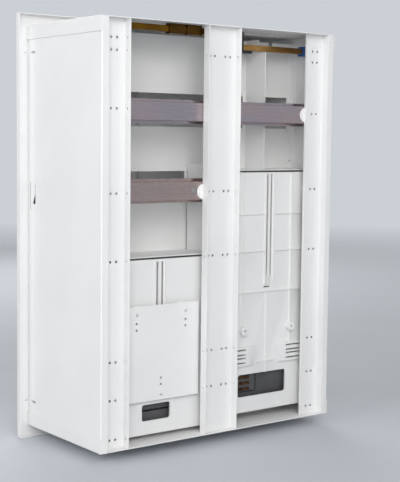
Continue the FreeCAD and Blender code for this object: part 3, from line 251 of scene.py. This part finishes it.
# Uprights -----------------------------------------------------------------------------------------
# Three channels of the same coated sheet, open to the rear. They are punched before they are
# folded, so the holes keep a crisp edge, and they are welded to both caps.
for upright in ("upright_right", "upright_middle", "upright_left"):
    finished(upright, "root", body_white, SHEET_BEND, SHEET_EDGE)


# Cable entry plates -------------------------------------------------------------------------------
# Loose coated plates that close the two cable entries. Rings pressed into them mark the knock-outs
# for cable glands, and four small slotted screws hold each plate from inside.
RING_SIZES = (0.0125, 0.0082)
RING_SPREAD = 0.27
RING_COUNT = 7
RING_WIRE = 0.0005
RING_SIDES = 40
WIRE_SIDES = 6


def new_tree(name, lengths):
    """A geometry tree with a mesh input, a material input and named lengths."""
    tree = bpy.data.node_groups.new(name, "GeometryNodeTree")
    tree.interface.new_socket("Geometry", in_out="INPUT", socket_type="NodeSocketGeometry")
    tree.interface.new_socket("Geometry", in_out="OUTPUT", socket_type="NodeSocketGeometry")
    for label in lengths:
        tree.interface.new_socket(label, in_out="INPUT", socket_type="NodeSocketFloat")
    tree.interface.new_socket("Material", in_out="INPUT", socket_type="NodeSocketMaterial")
    return tree, tree.nodes.new("NodeGroupInput"), tree.nodes.new("NodeGroupOutput")


def add_node(tree, kind, inputs=(), **settings):
    """Adds a node. inputs gives a value, or the output that feeds it, for a socket's name or number."""
    made = tree.nodes.new(kind)
    for setting, value in settings.items():
        setattr(made, setting, value)
    for socket, value in dict(inputs).items():
        if isinstance(value, bpy.types.NodeSocket):
            tree.links.new(value, made.inputs[socket])
        else:
            made.inputs[socket].default_value = value
    return made


def sum_of(tree, one, two, operation="ADD"):
    """One length worked out from two others."""
    return add_node(tree, "ShaderNodeMath", {0: one, 1: two}, operation=operation).outputs[0]


def close_tree(tree, source, outlet, instances):
    """Makes the instances real, gives them their material and sends them out."""
    real = add_node(tree, "GeometryNodeRealizeInstances", {0: instances})
    coated = add_node(tree, "GeometryNodeSetMaterial", {"Geometry": real.outputs[0]})
    tree.links.new(source.outputs["Material"], coated.inputs["Material"])
    tree.links.new(coated.outputs[0], outlet.inputs[0])


def grown(name, points, axes, tree, material, lengths):
    """Runs a geometry tree on points that have an axis each, and keeps the result as a plain mesh."""
    seeds = bpy.data.meshes.new(f"{name}_points")
    seeds.from_pydata(points, [], [])
    seeds.attributes.new("axis", "FLOAT_VECTOR", "POINT")
    for item, axis in zip(seeds.attributes["axis"].data, axes):
        item.vector = axis
    holder = bpy.data.objects.new(f"{name}_seeds", seeds)
    bpy.context.scene.collection.objects.link(holder)
    growth = holder.modifiers.new("growth", "NODES")
    growth.node_group = tree
    wanted = dict(lengths, Material=material)
    for socket in tree.interface.items_tree:
        if socket.in_out == "INPUT" and socket.name in wanted:
            growth[socket.identifier] = wanted[socket.name]
    graph = bpy.context.evaluated_depsgraph_get()
    mesh = bpy.data.meshes.new_from_object(holder.evaluated_get(graph))
    holder.modifiers.clear()
    bpy.data.objects.remove(holder)
    for attribute in [item for item in mesh.attributes if item.name == "axis"]:
        mesh.attributes.remove(attribute)
    return plain_piece(name, mesh, material)


def turned_to_axis(tree, points, shape):
    """Sets a copy of the shape on every point, with its Z along the point's axis."""
    axis = add_node(tree, "GeometryNodeInputNamedAttribute", {"Name": "axis"}, data_type="FLOAT_VECTOR")
    turn = add_node(tree, "FunctionNodeAlignRotationToVector", {"Vector": axis.outputs[0]}, axis="Z")
    return add_node(
        tree,
        "GeometryNodeInstanceOnPoints",
        {"Points": points, "Instance": shape, "Rotation": turn.outputs[0]},
    ).outputs[0]


def ring_tree():
    """A pressed ring: a thin round ridge that lies half in the plate."""
    tree, source, outlet = new_tree("pressed_ring", ("Ring Radius", "Wire Radius"))
    path = add_node(tree, "GeometryNodeCurvePrimitiveCircle", {"Resolution": RING_SIDES})
    tree.links.new(source.outputs["Ring Radius"], path.inputs["Radius"])
    wire = add_node(tree, "GeometryNodeCurvePrimitiveCircle", {"Resolution": WIRE_SIDES})
    tree.links.new(source.outputs["Wire Radius"], wire.inputs["Radius"])
    outlines = {"Curve": path.outputs[0], "Profile Curve": wire.outputs[0]}
    ring = add_node(tree, "GeometryNodeCurveToMesh", outlines)
    close_tree(tree, source, outlet, turned_to_axis(tree, source.outputs["Geometry"], ring.outputs[0]))
    return tree


pressed_ring = ring_tree()
for plate, face, up in (("entry_plate_top", 1, 1), ("entry_plate_bottom", 0, -1)):
    finished(plate, "root", body_white, SHEET_EDGE, SHEET_EDGE)
    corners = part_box(plate)
    middle = (corners[0] + corners[1]) / 2
    centres = [
        (middle.x + RING_SPREAD * (step / (RING_COUNT - 1) - 0.5), middle.y, corners[face].z)
        for step in range(RING_COUNT)
    ]
    for label, radius in zip(("outer", "inner"), RING_SIZES):
        rings = grown(
            f"{plate}_{label}_rings",
            centres,
            [(0, 0, up)] * RING_COUNT,
            pressed_ring,
            body_white,
            {"Ring Radius": radius, "Wire Radius": RING_WIRE},
        )
        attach(rings, "root")

SCREW_SIDES = 28
WALL_SHARE = 0.55
CROWN_SHARE = 0.3
TOP_SHARE = 0.15
CROWN_TAPER = 0.87
TOP_TAPER = 0.7
SLOT_SHARE = 0.55
SLOT_OVER = 1.3
CORE_SIDES = 16
CORE_SHARE = 0.86
THREAD_PITCH = 0.0007
THREAD_END = 0.03
THREAD_STEPS = 12
THREAD_SIDES = 4
SMALL_HEAD_HEIGHT = 0.0016
SMALL_SHANK = 0.003
SMALL_SLOT = 0.001
WIDE_SLOT = 0.0012


def screw_tree():
    """A slotted pan-head screw: a stepped dome, a sawn slot, a core and a rolled thread."""
    head_sizes = ("Head Diameter", "Head Height", "Slot Width", "Slot Depth")
    shank_sizes = ("Shank Diameter", "Shank Length")
    tree, source, outlet = new_tree("slotted_screw", head_sizes + shank_sizes)
    sizes = source.outputs
    shares = (WALL_SHARE, CROWN_SHARE, TOP_SHARE)
    wall, crown, top = (sum_of(tree, sizes["Head Height"], share, "MULTIPLY") for share in shares)
    head_radius = sum_of(tree, sizes["Head Diameter"], 0.5, "MULTIPLY")
    barrel = add_node(
        tree,
        "GeometryNodeMeshCylinder",
        {"Vertices": SCREW_SIDES, "Radius": head_radius, "Depth": wall},
        fill_type="NGON",
    )
    shape, above = barrel.outputs["Mesh"], barrel.outputs["Top"]
    for rise, narrow in ((crown, CROWN_TAPER), (top, TOP_TAPER)):
        step = add_node(
            tree,
            "GeometryNodeExtrudeMesh",
            {"Mesh": shape, "Selection": above, "Offset Scale": rise, "Individual": False},
        )
        above = step.outputs["Top"]
        shape = add_node(
            tree,
            "GeometryNodeScaleElements",
            {"Geometry": step.outputs["Mesh"], "Selection": above, "Scale": narrow},
        ).outputs[0]
    lift = add_node(tree, "ShaderNodeCombineXYZ", {"Z": sum_of(tree, wall, 0.5, "MULTIPLY")})
    head = add_node(tree, "GeometryNodeTransform", {"Geometry": shape, "Translation": lift.outputs[0]})
    saw = add_node(
        tree,
        "ShaderNodeCombineXYZ",
        {
            "X": sum_of(tree, sizes["Head Diameter"], SLOT_OVER, "MULTIPLY"),
            "Y": sizes["Slot Width"],
            "Z": sum_of(tree, sizes["Slot Depth"], 2.0, "MULTIPLY"),
        },
    )
    blade = add_node(tree, "GeometryNodeMeshCube", {"Size": saw.outputs[0]})
    above_head = add_node(tree, "ShaderNodeCombineXYZ", {"Z": sizes["Head Height"]})
    slot = add_node(
        tree,
        "GeometryNodeTransform",
        {"Geometry": blade.outputs[0], "Translation": above_head.outputs[0]},
    )
    cut = add_node(
        tree,
        "GeometryNodeMeshBoolean",
        {"Mesh 1": head.outputs[0], "Mesh 2": slot.outputs[0]},
        operation="DIFFERENCE",
        solver="EXACT",
    )
    core_radius = sum_of(tree, sizes["Shank Diameter"], CORE_SHARE / 2, "MULTIPLY")
    core = add_node(
        tree,
        "GeometryNodeMeshCylinder",
        {"Vertices": CORE_SIDES, "Radius": core_radius, "Depth": sizes["Shank Length"]},
        fill_type="NGON",
    )
    half_down = sum_of(tree, sizes["Shank Length"], -0.5, "MULTIPLY")
    below = add_node(tree, "ShaderNodeCombineXYZ", {"Z": half_down})
    shank = add_node(
        tree, "GeometryNodeTransform", {"Geometry": core.outputs[0], "Translation": below.outputs[0]}
    )
    helix = add_node(
        tree,
        "GeometryNodeCurveSpiral",
        {
            "Resolution": THREAD_STEPS,
            "Rotations": sum_of(tree, sizes["Shank Length"], 1 / THREAD_PITCH, "MULTIPLY"),
            "Start Radius": core_radius,
            "End Radius": core_radius,
            "Height": sum_of(tree, sizes["Shank Length"], 1 - 2 * THREAD_END, "MULTIPLY"),
        },
    )
    ridge_radius = sum_of(tree, sizes["Shank Diameter"], (1 - CORE_SHARE) / 2, "MULTIPLY")
    ridge = add_node(
        tree,
        "GeometryNodeCurvePrimitiveCircle",
        {"Resolution": THREAD_SIDES, "Radius": ridge_radius},
    )
    thread = add_node(
        tree,
        "GeometryNodeCurveToMesh",
        {"Curve": helix.outputs[0], "Profile Curve": ridge.outputs[0], "Fill Caps": True},
    )
    foot = sum_of(tree, sizes["Shank Length"], THREAD_END - 1, "MULTIPLY")
    down = add_node(tree, "ShaderNodeCombineXYZ", {"Z": foot})
    lowered = add_node(
        tree, "GeometryNodeTransform", {"Geometry": thread.outputs[0], "Translation": down.outputs[0]}
    )
    whole = add_node(tree, "GeometryNodeJoinGeometry")
    for part in (cut, shank, lowered):
        tree.links.new(part.outputs[0], whole.inputs[0])
    close_tree(tree, source, outlet, turned_to_axis(tree, source.outputs["Geometry"], whole.outputs[0]))
    return tree


def solids_of(node_name):
    """The low and high corner of each separate solid in a group of like pieces."""
    build = joined_mesh(node_name)
    waiting = set(build.verts)
    boxes = []
    while waiting:
        island = [waiting.pop()]
        for vertex in island:
            near = [line.other_vert(vertex) for line in vertex.link_edges]
            fresh = [other for other in near if other in waiting]
            waiting.difference_update(fresh)
            island.extend(fresh)
        low = Vector(min(vertex.co[axis] for vertex in island) for axis in range(3))
        high = Vector(max(vertex.co[axis] for vertex in island) for axis in range(3))
        boxes.append((low, high))
    build.free()
    return sorted(boxes, key=lambda corners: tuple(corners[0]))


slotted_screw = screw_tree()


def screw_set(
    name, body, material, facing, head_height=SMALL_HEAD_HEIGHT, shank=SMALL_SHANK, drive=SMALL_SLOT
):
    """Turned screws in place of a group of plain ones. facing gives the direction to a screw's head."""
    points, axes = [], []
    for low, high in solids_of(name):
        middle = (low + high) / 2
        axis = Vector(facing(middle))
        reach = sum(abs(axis[i]) * (high[i] - low[i]) for i in range(3))
        points.append(middle + axis * (reach / 2 - head_height))
        axes.append(axis)
        across = max((1 - abs(axis[i])) * (high[i] - low[i]) for i in range(3))
    lengths = {
        "Head Diameter": across,
        "Head Height": head_height,
        "Shank Diameter": shank,
        "Shank Length": reach - head_height,
        "Slot Width": drive,
        "Slot Depth": head_height * SLOT_SHARE,
    }
    turned = grown(f"{name}_turned", points, axes, slotted_screw, material, lengths)
    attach(turned, body)
    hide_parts(name)


def zinc_plate(name, colour, dark):
    """Bright zinc on steel: a faint crystalline mottle and fine turning marks."""
    material, tree, shader, place = new_finish(name, roughness=0.3, metallic=1.0)
    mottle = spread(tree, grain(tree, place, waves=900))
    tree.links.new(blended(tree, mottle, colour, dark), shader.inputs["Base Color"])
    gloss = spread(tree, grain(tree, place, waves=2600), low=0.24, high=0.42)
    tree.links.new(gloss, shader.inputs["Roughness"])
    marks = grain(tree, place, waves=5000, detail=1.0)
    raise_surface(tree, shader, marks, distance=0.00001, strength=0.4)
    return material


def to_middle_height(middle):
    return 0, 0, -math.copysign(1, middle.z)


screw_zinc = zinc_plate("bright_zinc", colour=(0.66, 0.68, 0.70), dark=(0.48, 0.50, 0.53))
screw_set("entry_plate_screws", "root", screw_zinc, to_middle_height)


# Hat rails ----------------------------------------------------------------------------------------
# Roll-formed steel strip, zinc plated and passivated, which leaves a mauve to straw tint in long
# streaks. Each rail is screwed to the webs of the uprights from the front.
RAIL_BEND = 0.0012
STREAK_SHADE = (0.19, 0.17, 0.19)


def passivated_zinc(name, cool, warm):
    """Mill streaks along the rail over a slow drift between the two tints of the passivation."""
    material, tree, shader, place = new_finish(name, roughness=0.27, metallic=1.0)
    drift = spread(tree, grain(tree, place, waves=26, detail=2.0, stretch=(0.35, 1, 1)))
    streak = spread(tree, grain(tree, place, waves=1500, stretch=(0.012, 1, 1)), low=0.82, high=1.0)
    tint = blended(tree, drift, cool, warm)
    shaded = blended(tree, streak, STREAK_SHADE, tint)
    tree.links.new(shaded, shader.inputs["Base Color"])
    fine = grain(tree, place, waves=900, detail=2.0, stretch=(0.03, 1, 1))
    tree.links.new(spread(tree, fine, low=0.2, high=0.36), shader.inputs["Roughness"])
    lines = grain(tree, place, waves=2400, detail=2.0, stretch=(0.01, 1, 1))
    raise_surface(tree, shader, lines, distance=0.00001, strength=0.35)
    return material


rail_mauve = passivated_zinc("passivated_zinc_mauve", cool=(0.40, 0.36, 0.40), warm=(0.46, 0.37, 0.38))
rail_straw = passivated_zinc("passivated_zinc_straw", cool=(0.44, 0.35, 0.34), warm=(0.50, 0.38, 0.35))
finished("rail_upper", "root", rail_mauve, RAIL_BEND, SHEET_EDGE)
finished("rail_lower", "root", rail_straw, RAIL_BEND, SHEET_EDGE)

RAIL_HEAD_HEIGHT = 0.0023
FIXING_THREAD = 0.0031


def to_front(middle):
    return 0, -1, 0


screw_set("rail_screws", "root", screw_zinc, to_front, RAIL_HEAD_HEIGHT, FIXING_THREAD, WIDE_SLOT)


# Partitions, ledges and cover supports ------------------------------------------------------------
# Coated sheet again. The ledges are welded to the side walls and carry the partitions, and the
# supports are angles with a threaded hole for each fastener of the covers.
inner_sheets = (
    "ledge_right",
    "ledge_left",
    "partition_middle",
    "partition_switch",
    "cover_support_right",
    "cover_support_left",
)
for sheet in inner_sheets:
    finished(sheet, "root", body_white, SHEET_BEND, SHEET_EDGE)


# Covers -------------------------------------------------------------------------------------------
# Two removable plates in front of the rails, cut for the fronts of the modular devices. They come
# from another coating batch, a shade warmer than the body, and slotted fasteners hold them.
cover_white = powder_coat("cover_powder_coat", bright=(0.84, 0.84, 0.83), dull=(0.81, 0.81, 0.80))
for cover in ("cover_field", "cover_switch"):
    finished(cover, "root", cover_white, SHEET_EDGE, SHEET_EDGE)
screw_set("cover_fasteners", "root", screw_zinc, to_front)


# Meter board and terminal board -------------------------------------------------------------------
# Injection-moulded boards of white plastic, 3 mm thick, with ribs, slits, bosses and vents moulded
# in. They stand on moulded sleeves, and their screws run through the sleeves into the webs.
MOULD_EDGE = 0.0004
MORE_GLOSS = 0.05
LESS_GLOSS = 0.06


def moulded(name, colour, shade, roughness):
    """Moulded plastic: a spark-eroded texture and slow flow marks that change the gloss a little."""
    material, tree, shader, place = new_finish(name, roughness)
    flow = spread(tree, grain(tree, place, waves=14, detail=2.0))
    tree.links.new(blended(tree, flow, colour, shade), shader.inputs["Base Color"])
    cloud = grain(tree, place, waves=45, detail=2.0)
    gloss = spread(tree, cloud, low=roughness - MORE_GLOSS, high=roughness + LESS_GLOSS)
    tree.links.new(gloss, shader.inputs["Roughness"])
    spark = grain(tree, place, waves=2200, detail=2.0)
    raise_surface(tree, shader, spark, distance=0.00002, strength=0.45)
    return material


board_white = moulded("board_plastic_white", (0.84, 0.84, 0.835), (0.81, 0.81, 0.805), 0.46)
for board in ("meter_board", "terminal_board", "board_spacers"):
    finished(board, "root", board_white, MOULD_EDGE, MOULD_EDGE)

BOARD_HEAD_HEIGHT = 0.0022
screw_set("board_screws", "root", screw_zinc, to_front, BOARD_HEAD_HEIGHT, FIXING_THREAD)


# Meter hook ---------------------------------------------------------------------------------------
# A small white moulding that slides up the double slit of the meter board and takes the head of the
# meter. One slotted screw clamps it where the meter's size needs it.
hook_white = moulded("hook_plastic_white", (0.79, 0.79, 0.78), (0.75, 0.75, 0.745), 0.4)
finished("meter_hook", "meter_hook", hook_white, MOULD_EDGE, MOULD_EDGE)
screw_set("meter_hook_screw", "meter_hook", screw_zinc, to_front)


# Mounting plate -----------------------------------------------------------------------------------
# A coated sheet behind the terminal board, with columns of spare holes. Three screws from the rear
# clamp it on moulded spacers.
finished("mounting_plate", "root", body_white, SHEET_EDGE, SHEET_EDGE)
finished("plate_spacers", "root", board_white, SHEET_EDGE, SHEET_EDGE)


def to_rear(middle):
    return 0, 1, 0


pale_zinc = zinc_plate("pale_zinc", colour=(0.86, 0.87, 0.88), dark=(0.76, 0.77, 0.78))
screw_set("plate_screws", "root", pale_zinc, to_rear)


# Terminals behind the windows ---------------------------------------------------------------------
# Dark grey moulded carriers that show through the two cable windows. The left one holds the three
# copper contacts of the supply terminal, which have gone brown.
carrier_grey = moulded("carrier_plastic_grey", (0.085, 0.085, 0.088), (0.065, 0.065, 0.07), 0.5)
for carrier in ("terminal_carrier_left", "terminal_carrier_right"):
    finished(carrier, "root", carrier_grey, MOULD_EDGE, MOULD_EDGE)


def browned_copper():
    """Copper with cloudy brown oxide and some bright rubbed spots."""
    material, tree, shader, place = new_finish("browned_copper", roughness=0.4, metallic=1.0)
    cloud = spread(tree, grain(tree, place, waves=160, detail=4.0))
    oxide = blended(tree, cloud, (0.10, 0.055, 0.03), (0.035, 0.022, 0.015))
    rub = spread(tree, grain(tree, place, waves=700), start=0.55, end=0.7)
    tree.links.new(blended(tree, rub, oxide, (0.30, 0.18, 0.09)), shader.inputs["Base Color"])
    tree.links.new(spread(tree, cloud, low=0.3, high=0.55), shader.inputs["Roughness"])
    raise_surface(tree, shader, grain(tree, place, waves=1400), distance=0.00004, strength=0.5)
    return material


finished("supply_terminal", "root", browned_copper(), MOULD_EDGE, MOULD_EDGE)


# Hoods --------------------------------------------------------------------------------------------
# Two white moulded hoods in front of the boards, open to the rear, which keep fingers off the
# terminals.
for hood in ("hood_left", "hood_right"):
    finished(hood, "root", hook_white, MOULD_EDGE * 2, MOULD_EDGE)


# Brass bars ---------------------------------------------------------------------------------------
# Drawn brass bars for the neutral and earth wires, 6 by 9 mm, lightly tarnished, with a row of
# slotted terminal screws in each. Two darker blocks clamp the neutral bar under the top cap. The
# neutral bar is the earth bar's brass, darkened as painted shade under the cap, and the clamps'
# brass carries that painted shade over the blocks' own darker tone.
def tarnished_brass(name, bright, tarnish):
    """Drawn brass: fine lines along the bar under a patchy brown tarnish."""
    material, tree, shader, place = new_finish(name, roughness=0.33, metallic=1.0)
    patch = spread(tree, grain(tree, place, waves=70, stretch=(0.4, 1, 1)))
    tree.links.new(blended(tree, patch, bright, tarnish), shader.inputs["Base Color"])
    drawn = grain(tree, place, waves=3000, detail=2.0, stretch=(0.01, 1, 1))
    tree.links.new(spread(tree, drawn, low=0.26, high=0.42), shader.inputs["Roughness"])
    raise_surface(tree, shader, drawn, distance=0.00001, strength=0.4)
    return material


earth_brass = tarnished_brass("drawn_brass", (0.58, 0.33, 0.11), (0.40, 0.22, 0.075))
# Painted shade: the neutral bar's brass is darkened to the shade under the top cap.
neutral_brass_painted_shade = tarnished_brass("brass_painted_shade", (0.22, 0.11, 0.012), (0.14, 0.07, 0.010))
# Painted shade: the clamps are darker again, the cap's shade over the blocks' own darker tone.
clamp_brass_and_painted_shade = tarnished_brass("clamp_brass_and_painted_shade", (0.10, 0.048, 0.010), (0.055, 0.027, 0.007))
finished("bar_neutral", "root", neutral_brass_painted_shade, MOULD_EDGE, MOULD_EDGE)
finished("bar_earth", "root", earth_brass, MOULD_EDGE, MOULD_EDGE)
finished("neutral_clamps", "root", clamp_brass_and_painted_shade, MOULD_EDGE, MOULD_EDGE)

TERMINAL_HEAD_HEIGHT = 0.0018
screw_set("bar_screws", "root", screw_zinc, to_front, TERMINAL_HEAD_HEIGHT)


# Bar holders --------------------------------------------------------------------------------------
# The earth bar's left end sits in a blue moulded block on the side wall, and a black moulded clip
# under the cap takes the other end.
holder_blue = moulded("holder_plastic_blue", (0.012, 0.115, 0.42), (0.010, 0.095, 0.36), 0.38)
clip_black = moulded("clip_plastic_black", (0.022, 0.022, 0.024), (0.016, 0.016, 0.018), 0.42)
finished("earth_holder", "root", holder_blue, MOULD_EDGE, MOULD_EDGE)
finished("earth_clip", "root", clip_black, MOULD_EDGE, MOULD_EDGE)


# Trim frame ---------------------------------------------------------------------------------------
# Four folded and coated members around the front, with a lip that stands back to the plaster.
# Angles behind the side walls' flanges pull the frame against the body through slots.
for member in ("frame_side_right", "frame_side_left", "frame_top", "frame_bottom"):
    finished(member, "root", body_white, SHEET_BEND, SHEET_EDGE)
finished("frame_brackets", "root", screw_zinc, SHEET_BEND, SHEET_EDGE)


def to_middle_width(middle):
    return -math.copysign(1, middle.x), 0, 0


screw_set("frame_screws", "root", screw_zinc, to_middle_width)


# Door ---------------------------------------------------------------------------------------------
# A flush leaf of coated sheet with a fold on each edge, and a hat-shaped stiffener spot-welded
# behind it.
finished("door_leaf", "door", body_white, SHEET_BEND, SHEET_EDGE)
finished("door_stiffener", "door", body_white, SHEET_EDGE * 2, SHEET_EDGE)


# Hinges -------------------------------------------------------------------------------------------
# A steel pin at each end of the door's left edge, in a welded boss of the frame and a black moulded
# bush of the door.
finished("hinge_pins", "root", screw_zinc, SHEET_EDGE, SHEET_EDGE)
finished("hinge_bosses", "root", screw_zinc, SHEET_EDGE, SHEET_EDGE)
finished("hinge_bushes", "door", clip_black, SHEET_EDGE, SHEET_EDGE)


# Latch --------------------------------------------------------------------------------------------
# A quarter-turn lock: a nickel-plated housing with its rotor and nut in the door, a zinc cam that a
# slotted screw holds on the rotor, and a black moulded strike on the side wall.
def nickel(name):
    """Bright nickel plate with faint polishing swirls."""
    material, tree, shader, place = new_finish(name, roughness=0.16, metallic=1.0)
    swirl = grain(tree, place, waves=420, detail=4.0)
    tint = blended(tree, spread(tree, swirl), (0.74, 0.72, 0.68), (0.64, 0.62, 0.59))
    tree.links.new(tint, shader.inputs["Base Color"])
    tree.links.new(spread(tree, swirl, low=0.12, high=0.22), shader.inputs["Roughness"])
    raise_surface(tree, shader, grain(tree, place, waves=2500), distance=0.000005, strength=0.3)
    return material


latch_nickel = nickel("nickel_plate")
finished("latch_housing", "door", latch_nickel, MOULD_EDGE, MOULD_EDGE)
finished("latch_nut", "door", screw_zinc, MOULD_EDGE, MOULD_EDGE)
finished("latch_rotor", "latch", latch_nickel, SHEET_EDGE, SHEET_EDGE)
finished("latch_cam", "latch", screw_zinc, SHEET_EDGE, SHEET_EDGE)
CAM_HEAD_HEIGHT = 0.0025
CAM_THREAD = 0.004
screw_set("latch_screw", "latch", screw_zinc, to_rear, CAM_HEAD_HEIGHT, CAM_THREAD, WIDE_SLOT)
finished("latch_strike", "root", clip_black, MOULD_EDGE, MOULD_EDGE)


# Floor and light ----------------------------------------------------------------------------------
# The cabinet stands on the lower edge of its trim frame on a plain pale floor, which fades into a
# background of the same colour. Soft panels at the rear, the rear corner, the side and the front
# light it at a plain level.
PALE = (0.60, 0.63, 0.67)
PALE_SHADE = (0.585, 0.615, 0.655)
FLOOR_GLOSS = 0.1
FLOOR_SIDES = 64
FLOOR_RADIUS = 6.0
FADE_START = 1.2
FADE_END = 4.5
FLOOR_DROP = 0.0005
AMBIENT = 0.26

floor_level = cad_box[0][2] - FLOOR_DROP
disc = bmesh.new()
bmesh.ops.create_circle(disc, cap_ends=True, segments=FLOOR_SIDES, radius=FLOOR_RADIUS)
floor_mesh = bpy.data.meshes.new("floor")
disc.to_mesh(floor_mesh)
disc.free()
floor = bpy.data.objects.new("floor", floor_mesh)
floor.location.z = floor_level
bpy.context.scene.collection.objects.link(floor)

floor_paint, tree, shader, place = new_finish("floor_paint", roughness=0.75)
shader.inputs["Specular IOR Level"].default_value = FLOOR_GLOSS
floor_tint = spread(tree, grain(tree, place, waves=5))
tree.links.new(blended(tree, floor_tint, PALE, PALE_SHADE), shader.inputs["Base Color"])
away = add_node(tree, "ShaderNodeVectorMath", {0: place}, operation="LENGTH").outputs["Value"]
fade = spread(tree, away, start=FADE_START, end=FADE_END)
clear = add_node(tree, "ShaderNodeBsdfTransparent")
mixed = add_node(tree, "ShaderNodeMixShader", {0: fade, 1: shader.outputs[0], 2: clear.outputs[0]})
tree.links.new(mixed.outputs[0], tree.nodes["Material Output"].inputs["Surface"])
floor_mesh.materials.append(floor_paint)

world = bpy.data.worlds.new("studio")
world.use_nodes = True
bpy.context.scene.world = world
sky = world.node_tree
ambient = sky.nodes["Background"]
ambient.inputs["Color"].default_value = (1, 1, 1, 1)
ambient.inputs["Strength"].default_value = AMBIENT
backdrop = add_node(sky, "ShaderNodeBackground", {"Color": (*PALE, 1), "Strength": 1.0})
rays = add_node(sky, "ShaderNodeLightPath").outputs
seen = sum_of(sky, rays["Is Camera Ray"], rays["Is Glossy Ray"], "MAXIMUM")
seen = sum_of(sky, seen, rays["Is Transmission Ray"], "MAXIMUM")
both = add_node(sky, "ShaderNodeMixShader", {0: seen, 1: ambient.outputs[0], 2: backdrop.outputs[0]})
sky.links.new(both.outputs[0], sky.nodes["World Output"].inputs["Surface"])


def panel(name, place, width, power):
    """A square soft light that faces the middle of the cabinet."""
    lamp = bpy.data.lights.new(name, "AREA")
    lamp.size = width
    lamp.energy = power
    holder = bpy.data.objects.new(name, lamp)
    holder.location = place
    holder.rotation_euler = (-Vector(place)).to_track_quat("-Z", "Y").to_euler()
    bpy.context.scene.collection.objects.link(holder)


panel("rear_panel", place=(0.5, 2.1, 1.5), width=1.4, power=16.5)
panel("corner_panel", place=(1.35, 1.9, 0.7), width=1.4, power=27)
panel("side_panel", place=(2.2, 0.2, 0.9), width=1.2, power=18.5)
panel("front_panel", place=(-0.9, -2.2, 1.1), width=1.6, power=26)


# Camera: at the height of the upper rail, well to the right of the rear, with a long lens.
CAMERA_PLACE = (1.0500, 1.3311, 0.1372)
CAMERA_TURN = 0.6514
CAMERA_TILT = 0.0893
CAMERA_ROLL = 0.0113
LENS_LENGTH = 103.47
SENSOR_WIDTH = 36

lens = bpy.data.cameras.new("camera")
lens.sensor_width = SENSOR_WIDTH
lens.sensor_fit = "HORIZONTAL"
lens.lens = LENS_LENGTH
camera = bpy.data.objects.new("camera", lens)
aim = Euler((math.pi / 2 - CAMERA_TILT, 0, math.pi - CAMERA_TURN)).to_matrix()
camera.rotation_euler = (aim @ Matrix.Rotation(CAMERA_ROLL, 3, "Z")).to_euler()
camera.location = CAMERA_PLACE
bpy.context.scene.collection.objects.link(camera)
bpy.context.scene.camera = camera
bpy.context.scene.view_settings.view_transform = "Standard"
